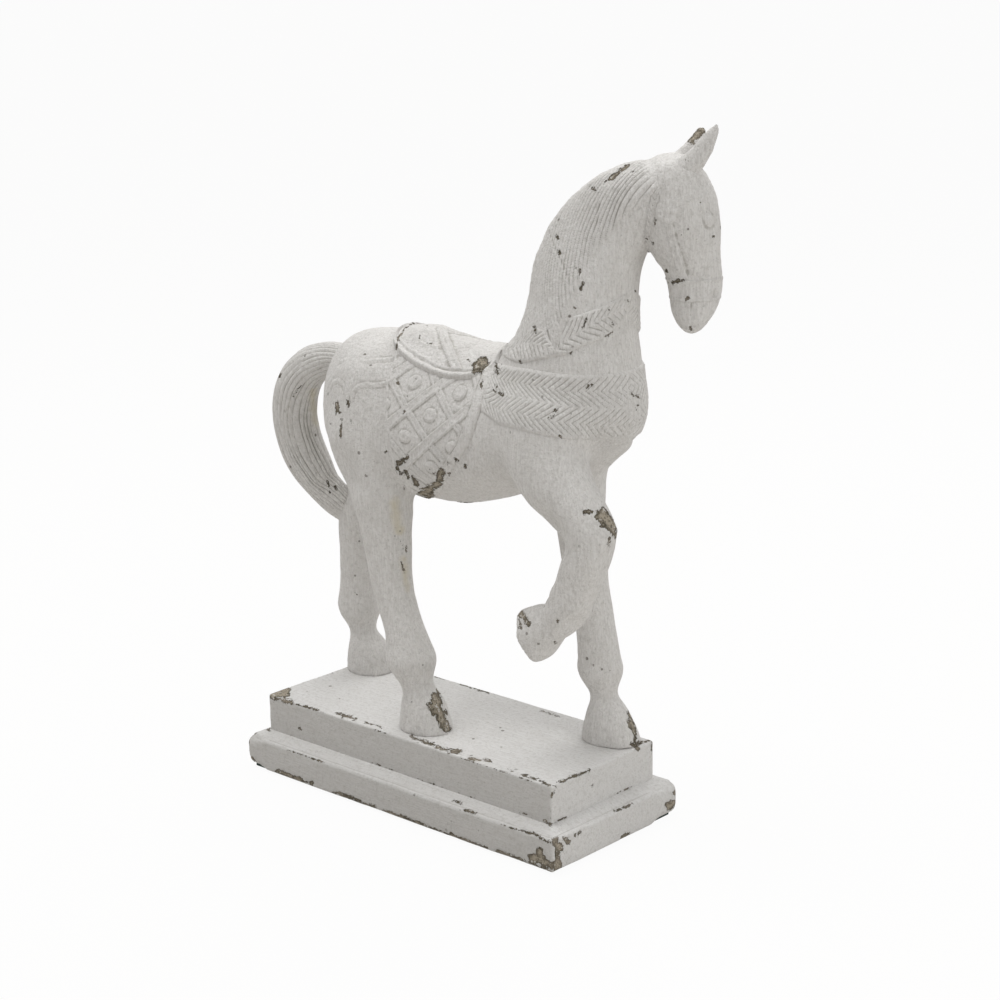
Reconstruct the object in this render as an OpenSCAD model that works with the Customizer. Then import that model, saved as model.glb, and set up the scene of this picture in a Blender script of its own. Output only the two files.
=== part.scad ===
// Walking horse statue on a two-step plinth, cast in resin and painted white.
// The figure is made of separate castings that are dowelled together and studded to the plinth.
// X points the way the horse walks, Y to its left and Z up. The origin is the middle of the underside.

/* [Plinth] */
// Length of the upper plinth
upper_plinth_l = 240; // [238:1:300]
// Width of the upper plinth
upper_plinth_w = 95; // [92:1:140]
// Height of the upper plinth
upper_plinth_h = 23; // [20:0.5:40]
// Width of the ledge at each end of the plinth
end_ledge = 11; // [4:0.5:30]
// Width of the ledge along each side of the plinth
side_ledge = 11.5; // [4:0.5:30]
// Height of the lower plinth at its outer edge
lower_plinth_h = 20; // [18:0.5:40]
// Rise of the ledge from its outer edge to the foot of the upper plinth
ledge_rise = 3.5; // [0.5:0.5:6]
// Thickness of the felt under the plinth
felt_t = 1.5; // [1:0.25:4]
// Bare rim round the felt
felt_rim = 5; // [2:0.5:8]

/* [Figure] */
// Height of the withers above the plinth, which sets the size of the whole figure
withers_h = 250; // [240:1:252]
// Width of the barrel
barrel_w = 86; // [80:1:92]
// Distance between the planes of the left and the right legs
leg_track = 56; // [52:0.5:60]
// Width of the tail at its thickest
tail_w = 33; // [26:1:36]
// Thickness of the tail from side to side
tail_t = 28; // [24:1:32]
// Length of an ear
ear_l = 33; // [26:1:40]
// Width of an ear from front to back
ear_w = 14; // [12:0.5:18]
// Thickness of an ear from side to side
ear_t = 9; // [7:0.5:12]
// Wall of the hollow torso
torso_wall = 7; // [5:0.5:9]

/* [Tack] */
// Thickness of the saddle cloth
cloth_t = 3; // [2:0.25:5]
// Thickness of the saddle on top of its cloth
saddle_t = 3.5; // [2:0.25:6]
// Thickness of the breast collar
breast_collar_t = 2; // [1:0.25:4]
// Thickness of the neck collar
neck_collar_t = 2; // [1:0.25:4]

/* [Fixings] */
// Diameter of the studs that hold the hooves to the plinth
stud_d = 6; // [4:0.5:8]
// Depth that a stud reaches into its leg
stud_reach = 42; // [30:1:44]
// Length of a stud below its nut
stud_tail = 2; // [1:0.5:3]
// Outer diameter of a stud's washer
washer_d = 14; // [12:0.5:18]
// Thickness of a stud's washer
washer_t = 1.6; // [1:0.1:2.5]
// Width of a stud's nut across its flats
nut_af = 10; // [9:0.5:13]
// Height of a stud's nut
nut_h = 5; // [4:0.5:6]
// Diameter of the dowels at the tops of the legs
leg_dowel_d = 8; // [5:0.5:10]
// Length of the dowels at the tops of the legs
leg_dowel_l = 34; // [24:1:36]
// Diameter of the dowels in the neck
neck_dowel_d = 8; // [5:0.5:12]
// Length of the dowels in the neck
neck_dowel_l = 50; // [30:1:56]
// Distance between the two dowels in the neck
neck_dowel_gap = 30; // [20:1:34]
// Diameter of the pin at the root of the tail
root_pin_d = 6; // [4:0.5:8]
// Length of the pin at the root of the tail
root_pin_l = 34; // [24:1:38]
// Diameter of the pin at the tip of the tail
tip_pin_d = 3; // [2:0.5:4]
// Length of the pin at the tip of the tail
tip_pin_l = 16; // [10:1:20]
// Diameter of the pins in the ears
ear_pin_d = 2.5; // [1.5:0.5:4]
// Length of the pins in the ears
ear_pin_l = 14; // [8:1:18]
// Diameter of the screws that join the two plinths
screw_d = 4.5; // [3:0.5:6]
// Depth that a screw reaches into the upper plinth
screw_reach = 14; // [8:0.5:16]
// Diameter of a screw's head
screw_head_d = 9; // [7:0.5:12]
// Height of a screw's head
screw_head_h = 3; // [2:0.25:4]
// Depth of the lower plinth that a screw's head clamps
screw_grip = 14; // [8:0.5:14]
// Distance of the screws from the ends of the upper plinth
screw_end = 62; // [50:1:70]
// Distance of the screws from the sides of the upper plinth
screw_side = 15; // [12:0.5:20]
// Diameter of the pouring hole in the belly
pour_d = 16; // [12:0.5:20]

/* [Hidden] */
$fn = 40;

// Colours
paint = [0.86, 0.85, 0.83];
tack_paint = [0.80, 0.78, 0.75];
steel = [0.62, 0.63, 0.65];
felt_green = [0.16, 0.22, 0.18];

// Clearances
glue_gap = 0.1;
drill_gap = 0.25;
socket_gap = 1;
stud_foot = 1;
// Length that a drilled hole runs past the face it opens in
through = 1;

// Levels of the plinth and of the figure's ground
lower_top = felt_t + lower_plinth_h + ledge_rise;
ground = lower_top + upper_plinth_h;
lower_plinth_l = upper_plinth_l + 2 * end_ledge;
lower_plinth_w = upper_plinth_w + 2 * side_ledge;
far = 1000;

// The sections below are drawn for withers at this height
sculpted_withers_h = 250;
fig = withers_h / sculpted_withers_h;
half_track = leg_track / 2;

// Sides of the rings round each mass, and stretches between two sections
barrel_sides = 36;
neck_sides = 32;
head_sides = 28;
limb_sides = 22;
hollow_sides = 20;
ear_sides = 16;
barrel_steps = 3;
steps = 2;

// Barrel: place along the horse, height of the back, height of the belly, share of the width, narrowing
barrel_sections = [
    [-88, 212, 182, 0.25, 0],
    [-84, 223, 168, 0.55, 0.05],
    [-72, 234.5, 152, 0.82, 0.1],
    [-50, 239.5, 147, 0.95, 0.12],
    [-20, 238.5, 143.5, 1, 0.14],
    [15, 236, 141, 1, 0.14],
    [45, 236.5, 146.5, 0.98, 0.14],
    [70, 242, 157, 0.95, 0.16],
    [95, 248, 169, 0.9, 0.18],
    [114, 248, 181, 0.78, 0.15],
    [127, 241, 194, 0.58, 0.1],
    [134.5, 232, 204, 0.36, 0.05],
    [138, 223, 212, 0.14, 0]];
barrel_middle = 25;
barrel_half_l = 113;

// Neck: throat x and z, crest x and z, sideways place, turn to the left, half width, narrowing
neck_sections = [
    [126, 197, 46, 233, 0, 0, 34, 0.15],
    [135.5, 215, 56, 241, 0, 0, 35, 0.18],
    [135, 240, 66, 257, 0, 0, 31.5, 0.22],
    [134, 262, 71, 280, 1.5, 3, 27.5, 0.25],
    [134.5, 280, 77, 300, 4, 9, 24.5, 0.28],
    [136, 293, 85.5, 316.5, 7.5, 16, 22.5, 0.28],
    [140, 303, 97, 330.5, 11, 23, 21, 0.25],
    [145, 311, 111, 341, 14, 29, 20, 0.2],
    [150, 318, 126, 348, 17, 34, 18.5, 0.15],
    [156, 324, 140, 351, 19.5, 38, 16, 0.1]];

// Head, from the poll down to the lips: height, back of the jaw, front of the face, half width
head_turn = 38;
head_place = [148, 20];
head_sections = [
    [353.5, -4, 7, 7],
    [350, -11, 15, 13],
    [343, -14, 22, 16.5],
    [334, -15, 27, 18.5],
    [323, -14, 29.5, 19.3],
    [311, -12, 30.3, 18.5],
    [300, -8, 30.3, 16],
    [290, -0.5, 31, 13.3],
    [280, 2, 31.3, 12.3],
    [271, 3, 29.5, 12.6],
    [263.5, 5.5, 25.5, 11.8],
    [258.5, 9, 21, 9],
    [256, 12.5, 17, 4]];

// Ears: foot of the ear as forward, left and below the poll, and the way it points as forward, left and up,
// all in the head's own directions
right_ear_foot = [13, -9, 10.5];
right_ear_way = [15.5, -4, 29];
left_ear_foot = [4, 9, 12.5];
left_ear_way = [15, 4, 25];
// Share of the length, share of the width and thickness
ear_sections = [[-0.12, 0.7], [0.1, 0.92], [0.3, 1], [0.55, 0.85], [0.8, 0.5], [0.95, 0.22], [1, 0.08]];

// Legs from top to bottom: x, share of half the track, z, half depth, half width
right_hind_path = [
    [-54, 0.5, 228, 20, 8],
    [-48, 0.75, 212, 33, 20],
    [-43, 0.86, 190, 35, 22],
    [-38, 0.92, 170, 30.5, 21],
    [-33, 0.95, 153, 24, 18.5],
    [-29.5, 0.95, 138, 19.5, 17],
    [-28, 0.95, 122, 16.5, 15],
    [-26.5, 0.95, 106, 14.5, 13.5],
    [-24.5, 0.95, 90, 12.6, 12.5],
    [-20, 0.95, 74, 11.6, 12],
    [-14.5, 0.95, 59, 12.4, 12.5],
    [-10, 0.95, 45, 14.4, 14],
    [-7.5, 0.95, 34, 12.6, 12.4],
    [-4.5, 0.93, 26, 10.8, 10.8],
    [-3, 0.91, 19, 13, 12.5],
    [-1.5, 0.89, 9, 16, 14.5],
    [-0.5, 0.88, -2, 18, 15.5]];
left_hind_path = [
    [-54, 0.5, 228, 20, 8],
    [-50, 0.75, 212, 33, 20],
    [-50, 0.88, 190, 35, 22],
    [-61, 0.96, 170, 32, 21],
    [-75, 1, 154, 26, 19],
    [-89, 1, 138, 20.5, 17],
    [-100, 1.02, 122, 17, 15],
    [-107, 1.03, 107, 15, 14],
    [-109.5, 1.03, 92, 13.8, 13],
    [-110, 1.03, 76, 13, 12.5],
    [-111, 1.03, 60, 13, 12.5],
    [-111.5, 1.03, 45, 13.4, 13],
    [-110.5, 1.03, 34, 11.5, 11.5],
    [-108.5, 1.03, 26, 9.8, 10],
    [-107, 1.05, 19, 12, 12],
    [-105, 1.07, 9, 15.3, 14],
    [-104, 1.08, -2, 17, 15]];
left_fore_path = [
    [94, 0.55, 232, 22, 9],
    [92, 0.75, 214, 30, 19],
    [87, 0.88, 192, 26, 21],
    [81, 0.95, 170, 21, 19],
    [78.5, 1, 152, 17.5, 16.5],
    [78, 1.04, 137, 15.5, 14.5],
    [78.5, 1.08, 122, 13.8, 13.5],
    [80.5, 1.1, 107, 13.5, 13.5],
    [83, 1.12, 93, 12.2, 12],
    [86, 1.14, 77, 12, 12],
    [89, 1.14, 61, 12.2, 12],
    [91, 1.14, 46, 13, 12.8],
    [92.5, 1.14, 35, 10.8, 11],
    [94, 1.14, 27, 9.4, 9.8],
    [95.2, 1.14, 20, 11.5, 11.8],
    [96, 1.15, 10, 15.3, 14],
    [97, 1.16, -2, 17.5, 15]];
right_fore_path = [
    [94, 0.55, 232, 22, 9],
    [95, 0.8, 214, 32, 20],
    [99, 0.95, 195, 29, 21],
    [108, 1.05, 179, 23, 19.5],
    [119, 1.07, 166.5, 19, 17],
    [129, 1.07, 157, 17, 15],
    [136, 1.07, 147, 15.8, 14.2],
    [135, 1.07, 136, 14, 13],
    [131, 1.07, 125, 12.6, 12],
    [126.5, 1.07, 115, 12.2, 11.6],
    [122, 1.07, 106, 12.8, 12],
    [116.5, 1.07, 98.5, 13, 12.4],
    [110.5, 1.07, 93, 11.4, 11.4],
    [104.5, 1.07, 89, 13.5, 13.2],
    [98, 1.07, 84.5, 15.2, 15],
    [93.5, 1.07, 81.5, 15.8, 15.5]];

// Tail from root to tip: x, share of half the track, z, share of the width and thickness
tail_path = [
    [-76, 0, 214, 0.6],
    [-95, 0, 214, 0.74],
    [-112, 0, 210, 0.82],
    [-124, 0.04, 203, 0.9],
    [-132.5, 0.08, 194, 0.97],
    [-138, 0.13, 183.5, 1],
    [-141, 0.18, 171.5, 1],
    [-141, 0.28, 157.5, 1],
    [-138, 0.36, 145.5, 0.98],
    [-133.5, 0.43, 135, 0.92],
    [-127.5, 0.53, 123.5, 0.82],
    [-121, 0.66, 112, 0.62],
    [-116, 0.78, 103, 0.35]];

// Seams between the castings
leg_seam_rise = 138;
leg_seam_h = leg_seam_rise * fig;
neck_seam_place = [104, 0, 243.5];
neck_seam = neck_seam_place * fig + [0, 0, ground];
neck_seam_tilt = 9;
raised_seam = 3.5;

// Feet of the studs, as x and share of half the track for each standing leg
stud_places = [[-4.5, -0.92], [-107.5, 1.05], [94.5, 1.14]];
// Middles of the upright leg dowels, as x and share of half the track
dowel_places = [[-29, -0.95], [-91, 1], [77.5, 1.04]];
// Middles of the tail's two pins, as x, share of half the track and height
root_pin_place = [-90, 0, 212.5];
tip_pin_place = [-118, 0.75, 119];
// Share of an ear's length at which the middle of its pin sits
ear_pin_share = 0.1;

// Hollow of the torso
hollow_from = 2;
hollow_to = 6;
pour_section = barrel_sections[5];
pour_x = pour_section[0] * fig;
pour_z = ground + pour_section[2] * fig;

// Outlines of the tack seen from the side, as x and height above the plinth
cloth_outline = [[-41, 262], [-41, 242], [-17, 225], [-10, 203], [-5, 179], [3, 161], [9, 151], [18, 148.5],
    [29, 153], [44, 167], [58, 187], [64, 210], [66, 233], [54, 244], [50, 262]];
saddle_outline = [[-37, 262], [-37, 244], [-22, 233], [-2, 226], [18, 221.5], [36, 220.5], [50, 225],
    [58, 234], [49, 245], [46, 262]];
breast_outline = [[56, 234], [80, 236.5], [110, 237.5], [160, 237], [160, 200], [124, 200.5], [96, 199],
    [74, 202], [62, 206]];
neck_collar_outline = [[46, 246], [84, 240], [116, 241.5], [160, 268], [160, 283], [118, 258], [90, 258],
    [50, 268]];

// Curves and lofts

// Point on a smooth curve through the stations p, at t from 0 to the last station
function on_curve(p, t) =
    let (last = len(p) - 1, i = min(floor(t), last - 1), f = t - i)
    let (a = p[max(i - 1, 0)], b = p[i], c = p[i + 1], d = p[min(i + 2, last)])
    b + f / 2 * ((c - a) + f * ((2 * a - 5 * b + 4 * c - d) + f * (3 * (b - c) + d - a)));

// The stations p with a number of parts between each two of them
function filled(p, parts) = [for (k = [0 : parts * (len(p) - 1)]) on_curve(p, k / parts)];

function unit(v) = v / norm(v);

// Egg-shaped ring about a centre, across u and along v, narrower towards v
function ring(centre, u, v, narrowing, sides) =
    [for (k = [0 : sides - 1]) let (a = 360 * k / sides)
        centre + u * cos(a) * (1 - narrowing * sin(a)) + v * sin(a)];

// Skin over a list of rings, closed at both ends
module loft(rings) {
    sides = len(rings[0]);
    last = (len(rings) - 1) * sides;
    polyhedron(
        points = [for (r = rings) each r],
        faces = concat(
            [[for (k = [0 : sides - 1]) k]],
            [[for (k = [sides - 1 : -1 : 0]) last + k]],
            [for (start = [0 : sides : last - 1]) for (k = [0 : sides - 1])
                let (a = start + k, b = start + (k + 1) % sides)
                each [[a, a + sides, b], [b, a + sides, b + sides]]]));
}

// Rings square to a path of points p, with half depth and half width at each
function path_rings(p, half_depth, half_width, side, sides) =
    [for (i = [0 : len(p) - 1])
        let (way = unit(p[min(i + 1, len(p) - 1)] - p[max(i - 1, 0)]))
        let (u = unit(side - way * (side * way)))
        ring(p[i], u * half_width[i], cross(way, u) * half_depth[i], 0, sides)];

// Joins the lofts below it into one skin
module weld() {
    resize([0, 0, 0])
        union()
            children();
}

// Puts the Z axis of its children along a direction, from a point
module along(point, way) {
    translate(point)
        rotate([0, acos(way.z / norm(way)), atan2(way.y, way.x)])
            children();
}

// The half of space above its own XY plane
module half_space() {
    translate([-far / 2, -far / 2, 0])
        cube(far);
}

// Masses of the figure

// Barrel of the horse, grown by extra on every side
module barrel(extra = 0) {
    loft([for (s = filled(barrel_sections, barrel_steps))
        let (x = s[0] + extra * (s[0] - barrel_middle) / barrel_half_l)
        let (half_h = (s[1] - s[2]) / 2 * fig + extra)
        ring([x * fig, 0, ground + (s[1] + s[2]) / 2 * fig], [0, s[3] * barrel_w / 2 + extra, 0],
            [0, 0, half_h], s[4], barrel_sides)]);
}

// Neck from the chest up to the poll, grown by extra
module neck(extra = 0) {
    loft([for (s = filled(neck_sections, steps))
        let (middle = [(s[0] + s[2]) / 2, s[4], (s[1] + s[3]) / 2] * fig)
        let (back = (s[2] - s[0]) / 2 * fig, up = (s[3] - s[1]) / 2 * fig)
        let (v = [back * cos(s[5]), back * sin(s[5]), up])
        ring(middle + [0, 0, ground], [-sin(s[5]), cos(s[5]), 0] * (s[6] * fig + extra),
            v + unit(v) * extra, s[7], neck_sides)]);
}

// A place in the head's own directions: forward, left and up
function in_head(p) =
    [head_place.x + p.x * cos(head_turn) - p.y * sin(head_turn),
     head_place.y + p.x * sin(head_turn) + p.y * cos(head_turn), p.z];

head_left = [-sin(head_turn), cos(head_turn), 0];

// Head from the poll to the lips
module head() {
    forward = [cos(head_turn), sin(head_turn), 0];
    loft([for (s = filled(head_sections, steps))
        ring(in_head([(s[1] + s[2]) / 2, 0, s[0]]) * fig + [0, 0, ground], head_left * s[3] * fig,
            forward * (s[2] - s[1]) / 2 * fig, 0, head_sides)]);
}

// Stations of a leg, with the side of the horse that it is on
function leg_stations(path, side) =
    [for (s = filled(path, steps))
        [s[0] * fig, s[1] * side * half_track, ground + s[2] * fig, s[3] * fig, s[4] * fig]];

function places(stations) = [for (s = stations) [s[0], s[1], s[2]]];

// A whole leg with its shoulder or haunch, grown by extra
module leg(path, side, extra = 0) {
    s = leg_stations(path, side);
    loft(path_rings(places(s), [for (i = s) i[3] + extra], [for (i = s) i[4] + extra], [0, 1, 0],
        limb_sides));
}

// Middle of the raised leg's seam and the way it faces
raised_places = places(leg_stations(right_fore_path, -1));
raised_station = steps * raised_seam;
raised_at = raised_places[raised_station];
raised_step = raised_places[raised_station + 1] - raised_places[raised_station - 1];
raised_way = unit([raised_step.x, 0, raised_step.z]);

// The right half of the space beyond the raised leg's seam
module beyond_raised_seam() {
    along(raised_at, raised_way)
        translate([-far / 2, -far - raised_at.y, 0])
            cube(far);
}

module below_leg_seam() {
    translate([0, 0, ground + leg_seam_h])
        rotate([180, 0, 0])
            half_space();
}

module above_neck_seam() {
    translate(neck_seam)
        rotate([0, neck_seam_tilt, 0])
            half_space();
}

// Everything that the legs, tail and tack are joined to
module trunk() {
    barrel();
    neck();
    leg(right_hind_path, -1);
    leg(left_hind_path, 1);
    leg(left_fore_path, 1);
    leg(right_fore_path, -1);
}

// Chest and shoulders, grown by extra, for the tack that lies on them
module chest(extra) {
    barrel(extra);
    neck(extra);
    leg(left_fore_path, 1, extra);
    leg(right_fore_path, -1, extra);
}

// A side outline carried right through the figure
module side_prism(outline) {
    translate([0, far / 2, ground])
        rotate([90, 0, 0])
            linear_extrude(far)
                polygon(outline * fig);
}

// Fixings

// Repeats its children at each standing hoof, on the middle of the plinth's ground
module at_studs() {
    for (p = stud_places)
        translate([p.x * fig, p.y * half_track, 0])
            children();
}

stud_bottom = felt_t + stud_foot;
nut_bottom = stud_bottom + stud_tail;
washer_bottom = nut_bottom + nut_h;
socket_top = washer_bottom + washer_t;
stud_top = ground + stud_reach;

// Holes of the studs, wider than them by gap all round, from one level to another
module stud_holes(gap, from, to) {
    at_studs()
        translate([0, 0, from])
            cylinder(d = stud_d + 2 * gap, h = to - from);
}

// Repeats its children at each plinth screw
module at_screws() {
    for (x = [-1, 1])
        for (y = [-1, 1])
            translate([x * (upper_plinth_l / 2 - screw_end), y * (upper_plinth_w / 2 - screw_side), 0])
                children();
}

screw_seat = lower_top - screw_grip;
screw_top = lower_top + screw_reach;

// The dowels of the four legs, with gap all round
module dowels_of_legs(gap = 0) {
    for (p = dowel_places)
        translate([p.x * fig, p.y * half_track, ground + leg_seam_h - leg_dowel_l / 2])
            cylinder(d = leg_dowel_d + 2 * gap, h = leg_dowel_l);
    along(raised_at - raised_way * leg_dowel_l / 2, raised_way)
        cylinder(d = leg_dowel_d + 2 * gap, h = leg_dowel_l);
}

// The two dowels of the neck, square to its seam
module dowels_of_neck(gap = 0) {
    translate(neck_seam)
        rotate([0, neck_seam_tilt, 0])
            for (x = [-1, 1])
                translate([x * neck_dowel_gap / 2, 0, -neck_dowel_l / 2])
                    cylinder(d = neck_dowel_d + 2 * gap, h = neck_dowel_l);
}

// Pin between the croup and the tail
root_pin_middle = [root_pin_place.x * fig, root_pin_place.y * half_track, ground + root_pin_place.z * fig];

module root_pin(gap = 0) {
    along(root_pin_middle - [root_pin_l / 2, 0, 0], [1, 0, 0])
        cylinder(d = root_pin_d + 2 * gap, h = root_pin_l);
}

// Pin between the tip of the tail and the left hind leg
tip_pin_middle = [tip_pin_place.x * fig, tip_pin_place.y * half_track, ground + tip_pin_place.z * fig];

module tip_pin(gap = 0) {
    along(tip_pin_middle - [tip_pin_l / 2, 0, 0], [1, 0, 0])
        cylinder(d = tip_pin_d + 2 * gap, h = tip_pin_l);
}

poll_h = head_sections[0][0];

function ear_foot(foot) = in_head([foot.x, foot.y, poll_h - foot.z]) * fig + [0, 0, ground];

function ear_way(way) = unit(in_head(way) - in_head([0, 0, 0]));

// Pin in the foot of one ear
module ear_pin(foot, way, gap = 0) {
    along(ear_foot(foot) + ear_way(way) * (ear_l * ear_pin_share - ear_pin_l / 2), ear_way(way))
        cylinder(d = ear_pin_d + 2 * gap, h = ear_pin_l);
}

module both_ear_pins(gap = 0) {
    ear_pin(right_ear_foot, right_ear_way, gap);
    ear_pin(left_ear_foot, left_ear_way, gap);
}

// Sub-parts

module felt_sheet() {
    color(felt_green)
        translate([-lower_plinth_l / 2 + felt_rim, -lower_plinth_w / 2 + felt_rim, 0])
            cube([lower_plinth_l - 2 * felt_rim, lower_plinth_w - 2 * felt_rim, felt_t]);
}

// Slab with a ledge that slopes up to the foot of the upper plinth
module lower_plinth() {
    color(paint)
        difference() {
            hull() {
                translate([-lower_plinth_l / 2, -lower_plinth_w / 2, felt_t])
                    cube([lower_plinth_l, lower_plinth_w, lower_plinth_h]);
                translate([-upper_plinth_l / 2, -upper_plinth_w / 2, felt_t])
                    cube([upper_plinth_l, upper_plinth_w, lower_plinth_h + ledge_rise]);
            }
            stud_holes(drill_gap, 0, ground);
            at_studs()
                cylinder(d = washer_d + 2 * socket_gap, h = socket_top);
            at_screws() {
                cylinder(d = screw_d + 2 * drill_gap, h = ground);
                cylinder(d = screw_head_d + 2 * socket_gap, h = screw_seat);
            }
        }
}

module upper_plinth() {
    color(paint)
        difference() {
            translate([-upper_plinth_l / 2, -upper_plinth_w / 2, lower_top])
                cube([upper_plinth_l, upper_plinth_w, upper_plinth_h]);
            stud_holes(drill_gap, 0, ground + through);
            at_screws()
                cylinder(d = screw_d, h = screw_top);
        }
}

module plinth_screws() {
    color(steel)
        at_screws() {
            translate([0, 0, screw_seat])
                cylinder(d = screw_d, h = screw_top - screw_seat);
            translate([0, 0, screw_seat - screw_head_h])
                cylinder(d = screw_head_d, h = screw_head_h);
        }
}

module hoof_studs() {
    color(steel)
        stud_holes(0, stud_bottom, stud_top);
}

module stud_washers() {
    color(steel)
        at_studs()
            translate([0, 0, washer_bottom])
                difference() {
                    cylinder(d = washer_d, h = washer_t);
                    translate([0, 0, -through])
                        cylinder(d = stud_d + 2 * drill_gap, h = washer_t + 2 * through);
                }
}

module stud_nuts() {
    color(steel)
        at_studs()
            translate([0, 0, nut_bottom])
                difference() {
                    cylinder(d = nut_af / cos(30), h = nut_h, $fn = 6);
                    translate([0, 0, -through])
                        cylinder(d = stud_d, h = nut_h + 2 * through);
                }
}

// A standing leg from its seam down to the plinth, drilled for its stud and its dowel
module standing_leg(path, side) {
    color(paint)
        difference() {
            weld()
                intersection() {
                    leg(path, side);
                    below_leg_seam();
                    translate([0, 0, ground])
                        half_space();
                }
            stud_holes(glue_gap, ground - through, stud_top);
            dowels_of_legs(glue_gap);
            tip_pin(glue_gap);
        }
}

module left_hind_leg() {
    standing_leg(left_hind_path, 1);
}

module right_hind_leg() {
    standing_leg(right_hind_path, -1);
}

module left_foreleg() {
    standing_leg(left_fore_path, 1);
}

// The raised leg from its seam to the hoof
module right_foreleg() {
    color(paint)
        difference() {
            weld()
                difference() {
                    leg(right_fore_path, -1);
                    barrel();
                    neck();
                }
            along(raised_at, -raised_way)
                half_space();
            dowels_of_legs(glue_gap);
        }
}

module leg_dowels() {
    color(steel)
        dowels_of_legs();
}

// Hollow inside the barrel, a wall's thickness from the skin
module torso_hollow() {
    kept = [for (i = [hollow_from : hollow_to]) barrel_sections[i]];
    loft([for (s = filled(kept, steps))
        ring([s[0] * fig, 0, ground + (s[1] + s[2]) / 2 * fig], [0, s[3] * barrel_w / 2 - torso_wall, 0],
            [0, 0, (s[1] - s[2]) / 2 * fig - torso_wall], s[4], hollow_sides)]);
}

module torso() {
    color(paint)
        difference() {
            weld()
                difference() {
                    trunk();
                    below_leg_seam();
                    above_neck_seam();
                }
            beyond_raised_seam();
            torso_hollow();
            translate([pour_x, 0, pour_z - torso_wall])
                cylinder(d = pour_d, h = 2 * torso_wall + through);
            dowels_of_legs(glue_gap);
            dowels_of_neck(glue_gap);
            root_pin(glue_gap);
        }
}

module pour_plug() {
    color(paint)
        translate([pour_x, 0, pour_z + socket_gap])
            cylinder(d = pour_d, h = torso_wall);
}

module neck_and_head() {
    color(paint)
        difference() {
            weld()
                intersection() {
                    union() {
                        neck();
                        head();
                    }
                    above_neck_seam();
                }
            dowels_of_neck(glue_gap);
            both_ear_pins(glue_gap);
        }
}

module neck_dowels() {
    color(steel)
        dowels_of_neck();
}

// An ear, cut to sit on the head
module ear(foot, way) {
    s = filled(ear_sections, steps);
    color(paint)
        difference() {
            weld()
                difference() {
                    loft(path_rings([for (i = s) ear_foot(foot) + ear_way(way) * ear_l * i[0]],
                        [for (i = s) i[1] * ear_w / 2], [for (i = s) i[1] * ear_t / 2], head_left,
                        ear_sides));
                    head();
                    neck();
                }
            ear_pin(foot, way, glue_gap);
        }
}

module left_ear() {
    ear(left_ear_foot, left_ear_way);
}

module right_ear() {
    ear(right_ear_foot, right_ear_way);
}

module ear_pins() {
    color(steel)
        both_ear_pins();
}

// The tail, cut to sit on the croup and on the left hind leg
module tail() {
    s = filled(tail_path, steps);
    color(paint)
        difference() {
            weld()
                difference() {
                    loft(path_rings([for (i = s) [i[0] * fig, i[1] * half_track, ground + i[2] * fig]],
                        [for (i = s) i[3] * tail_w / 2], [for (i = s) i[3] * tail_t / 2], [0, 1, 0],
                        limb_sides));
                    barrel();
                    leg(right_hind_path, -1);
                    leg(left_hind_path, 1);
                }
            root_pin(glue_gap);
            tip_pin(glue_gap);
        }
}

module tail_root_pin() {
    color(steel)
        root_pin();
}

module tail_tip_pin() {
    color(steel)
        tip_pin();
}

// Each piece of tack is a layer on the grown masses, inside its outline from the side
module saddle_cloth() {
    color(tack_paint)
        weld()
            difference() {
                intersection() {
                    barrel(cloth_t);
                    side_prism(cloth_outline);
                }
                trunk();
            }
}

module saddle() {
    color(tack_paint)
        weld()
            difference() {
                intersection() {
                    barrel(cloth_t + saddle_t);
                    side_prism(saddle_outline);
                }
                barrel(cloth_t);
                trunk();
            }
}

module breast_collar() {
    color(tack_paint)
        weld()
            difference() {
                intersection() {
                    chest(breast_collar_t);
                    side_prism(breast_outline);
                }
                trunk();
                side_prism(cloth_outline);
            }
}

module neck_collar() {
    color(tack_paint)
        weld()
            difference() {
                intersection() {
                    chest(neck_collar_t);
                    side_prism(neck_collar_outline);
                }
                trunk();
                side_prism(saddle_outline);
                side_prism(cloth_outline);
            }
}

felt_sheet();
lower_plinth();
upper_plinth();
plinth_screws();
hoof_studs();
stud_washers();
stud_nuts();
left_hind_leg();
right_hind_leg();
left_foreleg();
right_foreleg();
leg_dowels();
torso();
pour_plug();
neck_and_head();
neck_dowels();
left_ear();
right_ear();
ear_pins();
tail();
tail_root_pin();
tail_tip_pin();
saddle_cloth();
saddle();
breast_collar();
neck_collar();
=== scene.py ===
# %% [markdown]
# A walking horse in cast resin, painted white and rubbed back, on a plinth of two steps.
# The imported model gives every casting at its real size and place. It comes in as a fixed frame first,
# and all later cells dress it: they carve, paint and wear it, but never move or resize a part.

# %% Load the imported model
from itertools import product

import bmesh
import bpy
import numpy as np
from mathutils import Matrix, Vector
from mathutils.bvhtree import BVHTree


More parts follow.
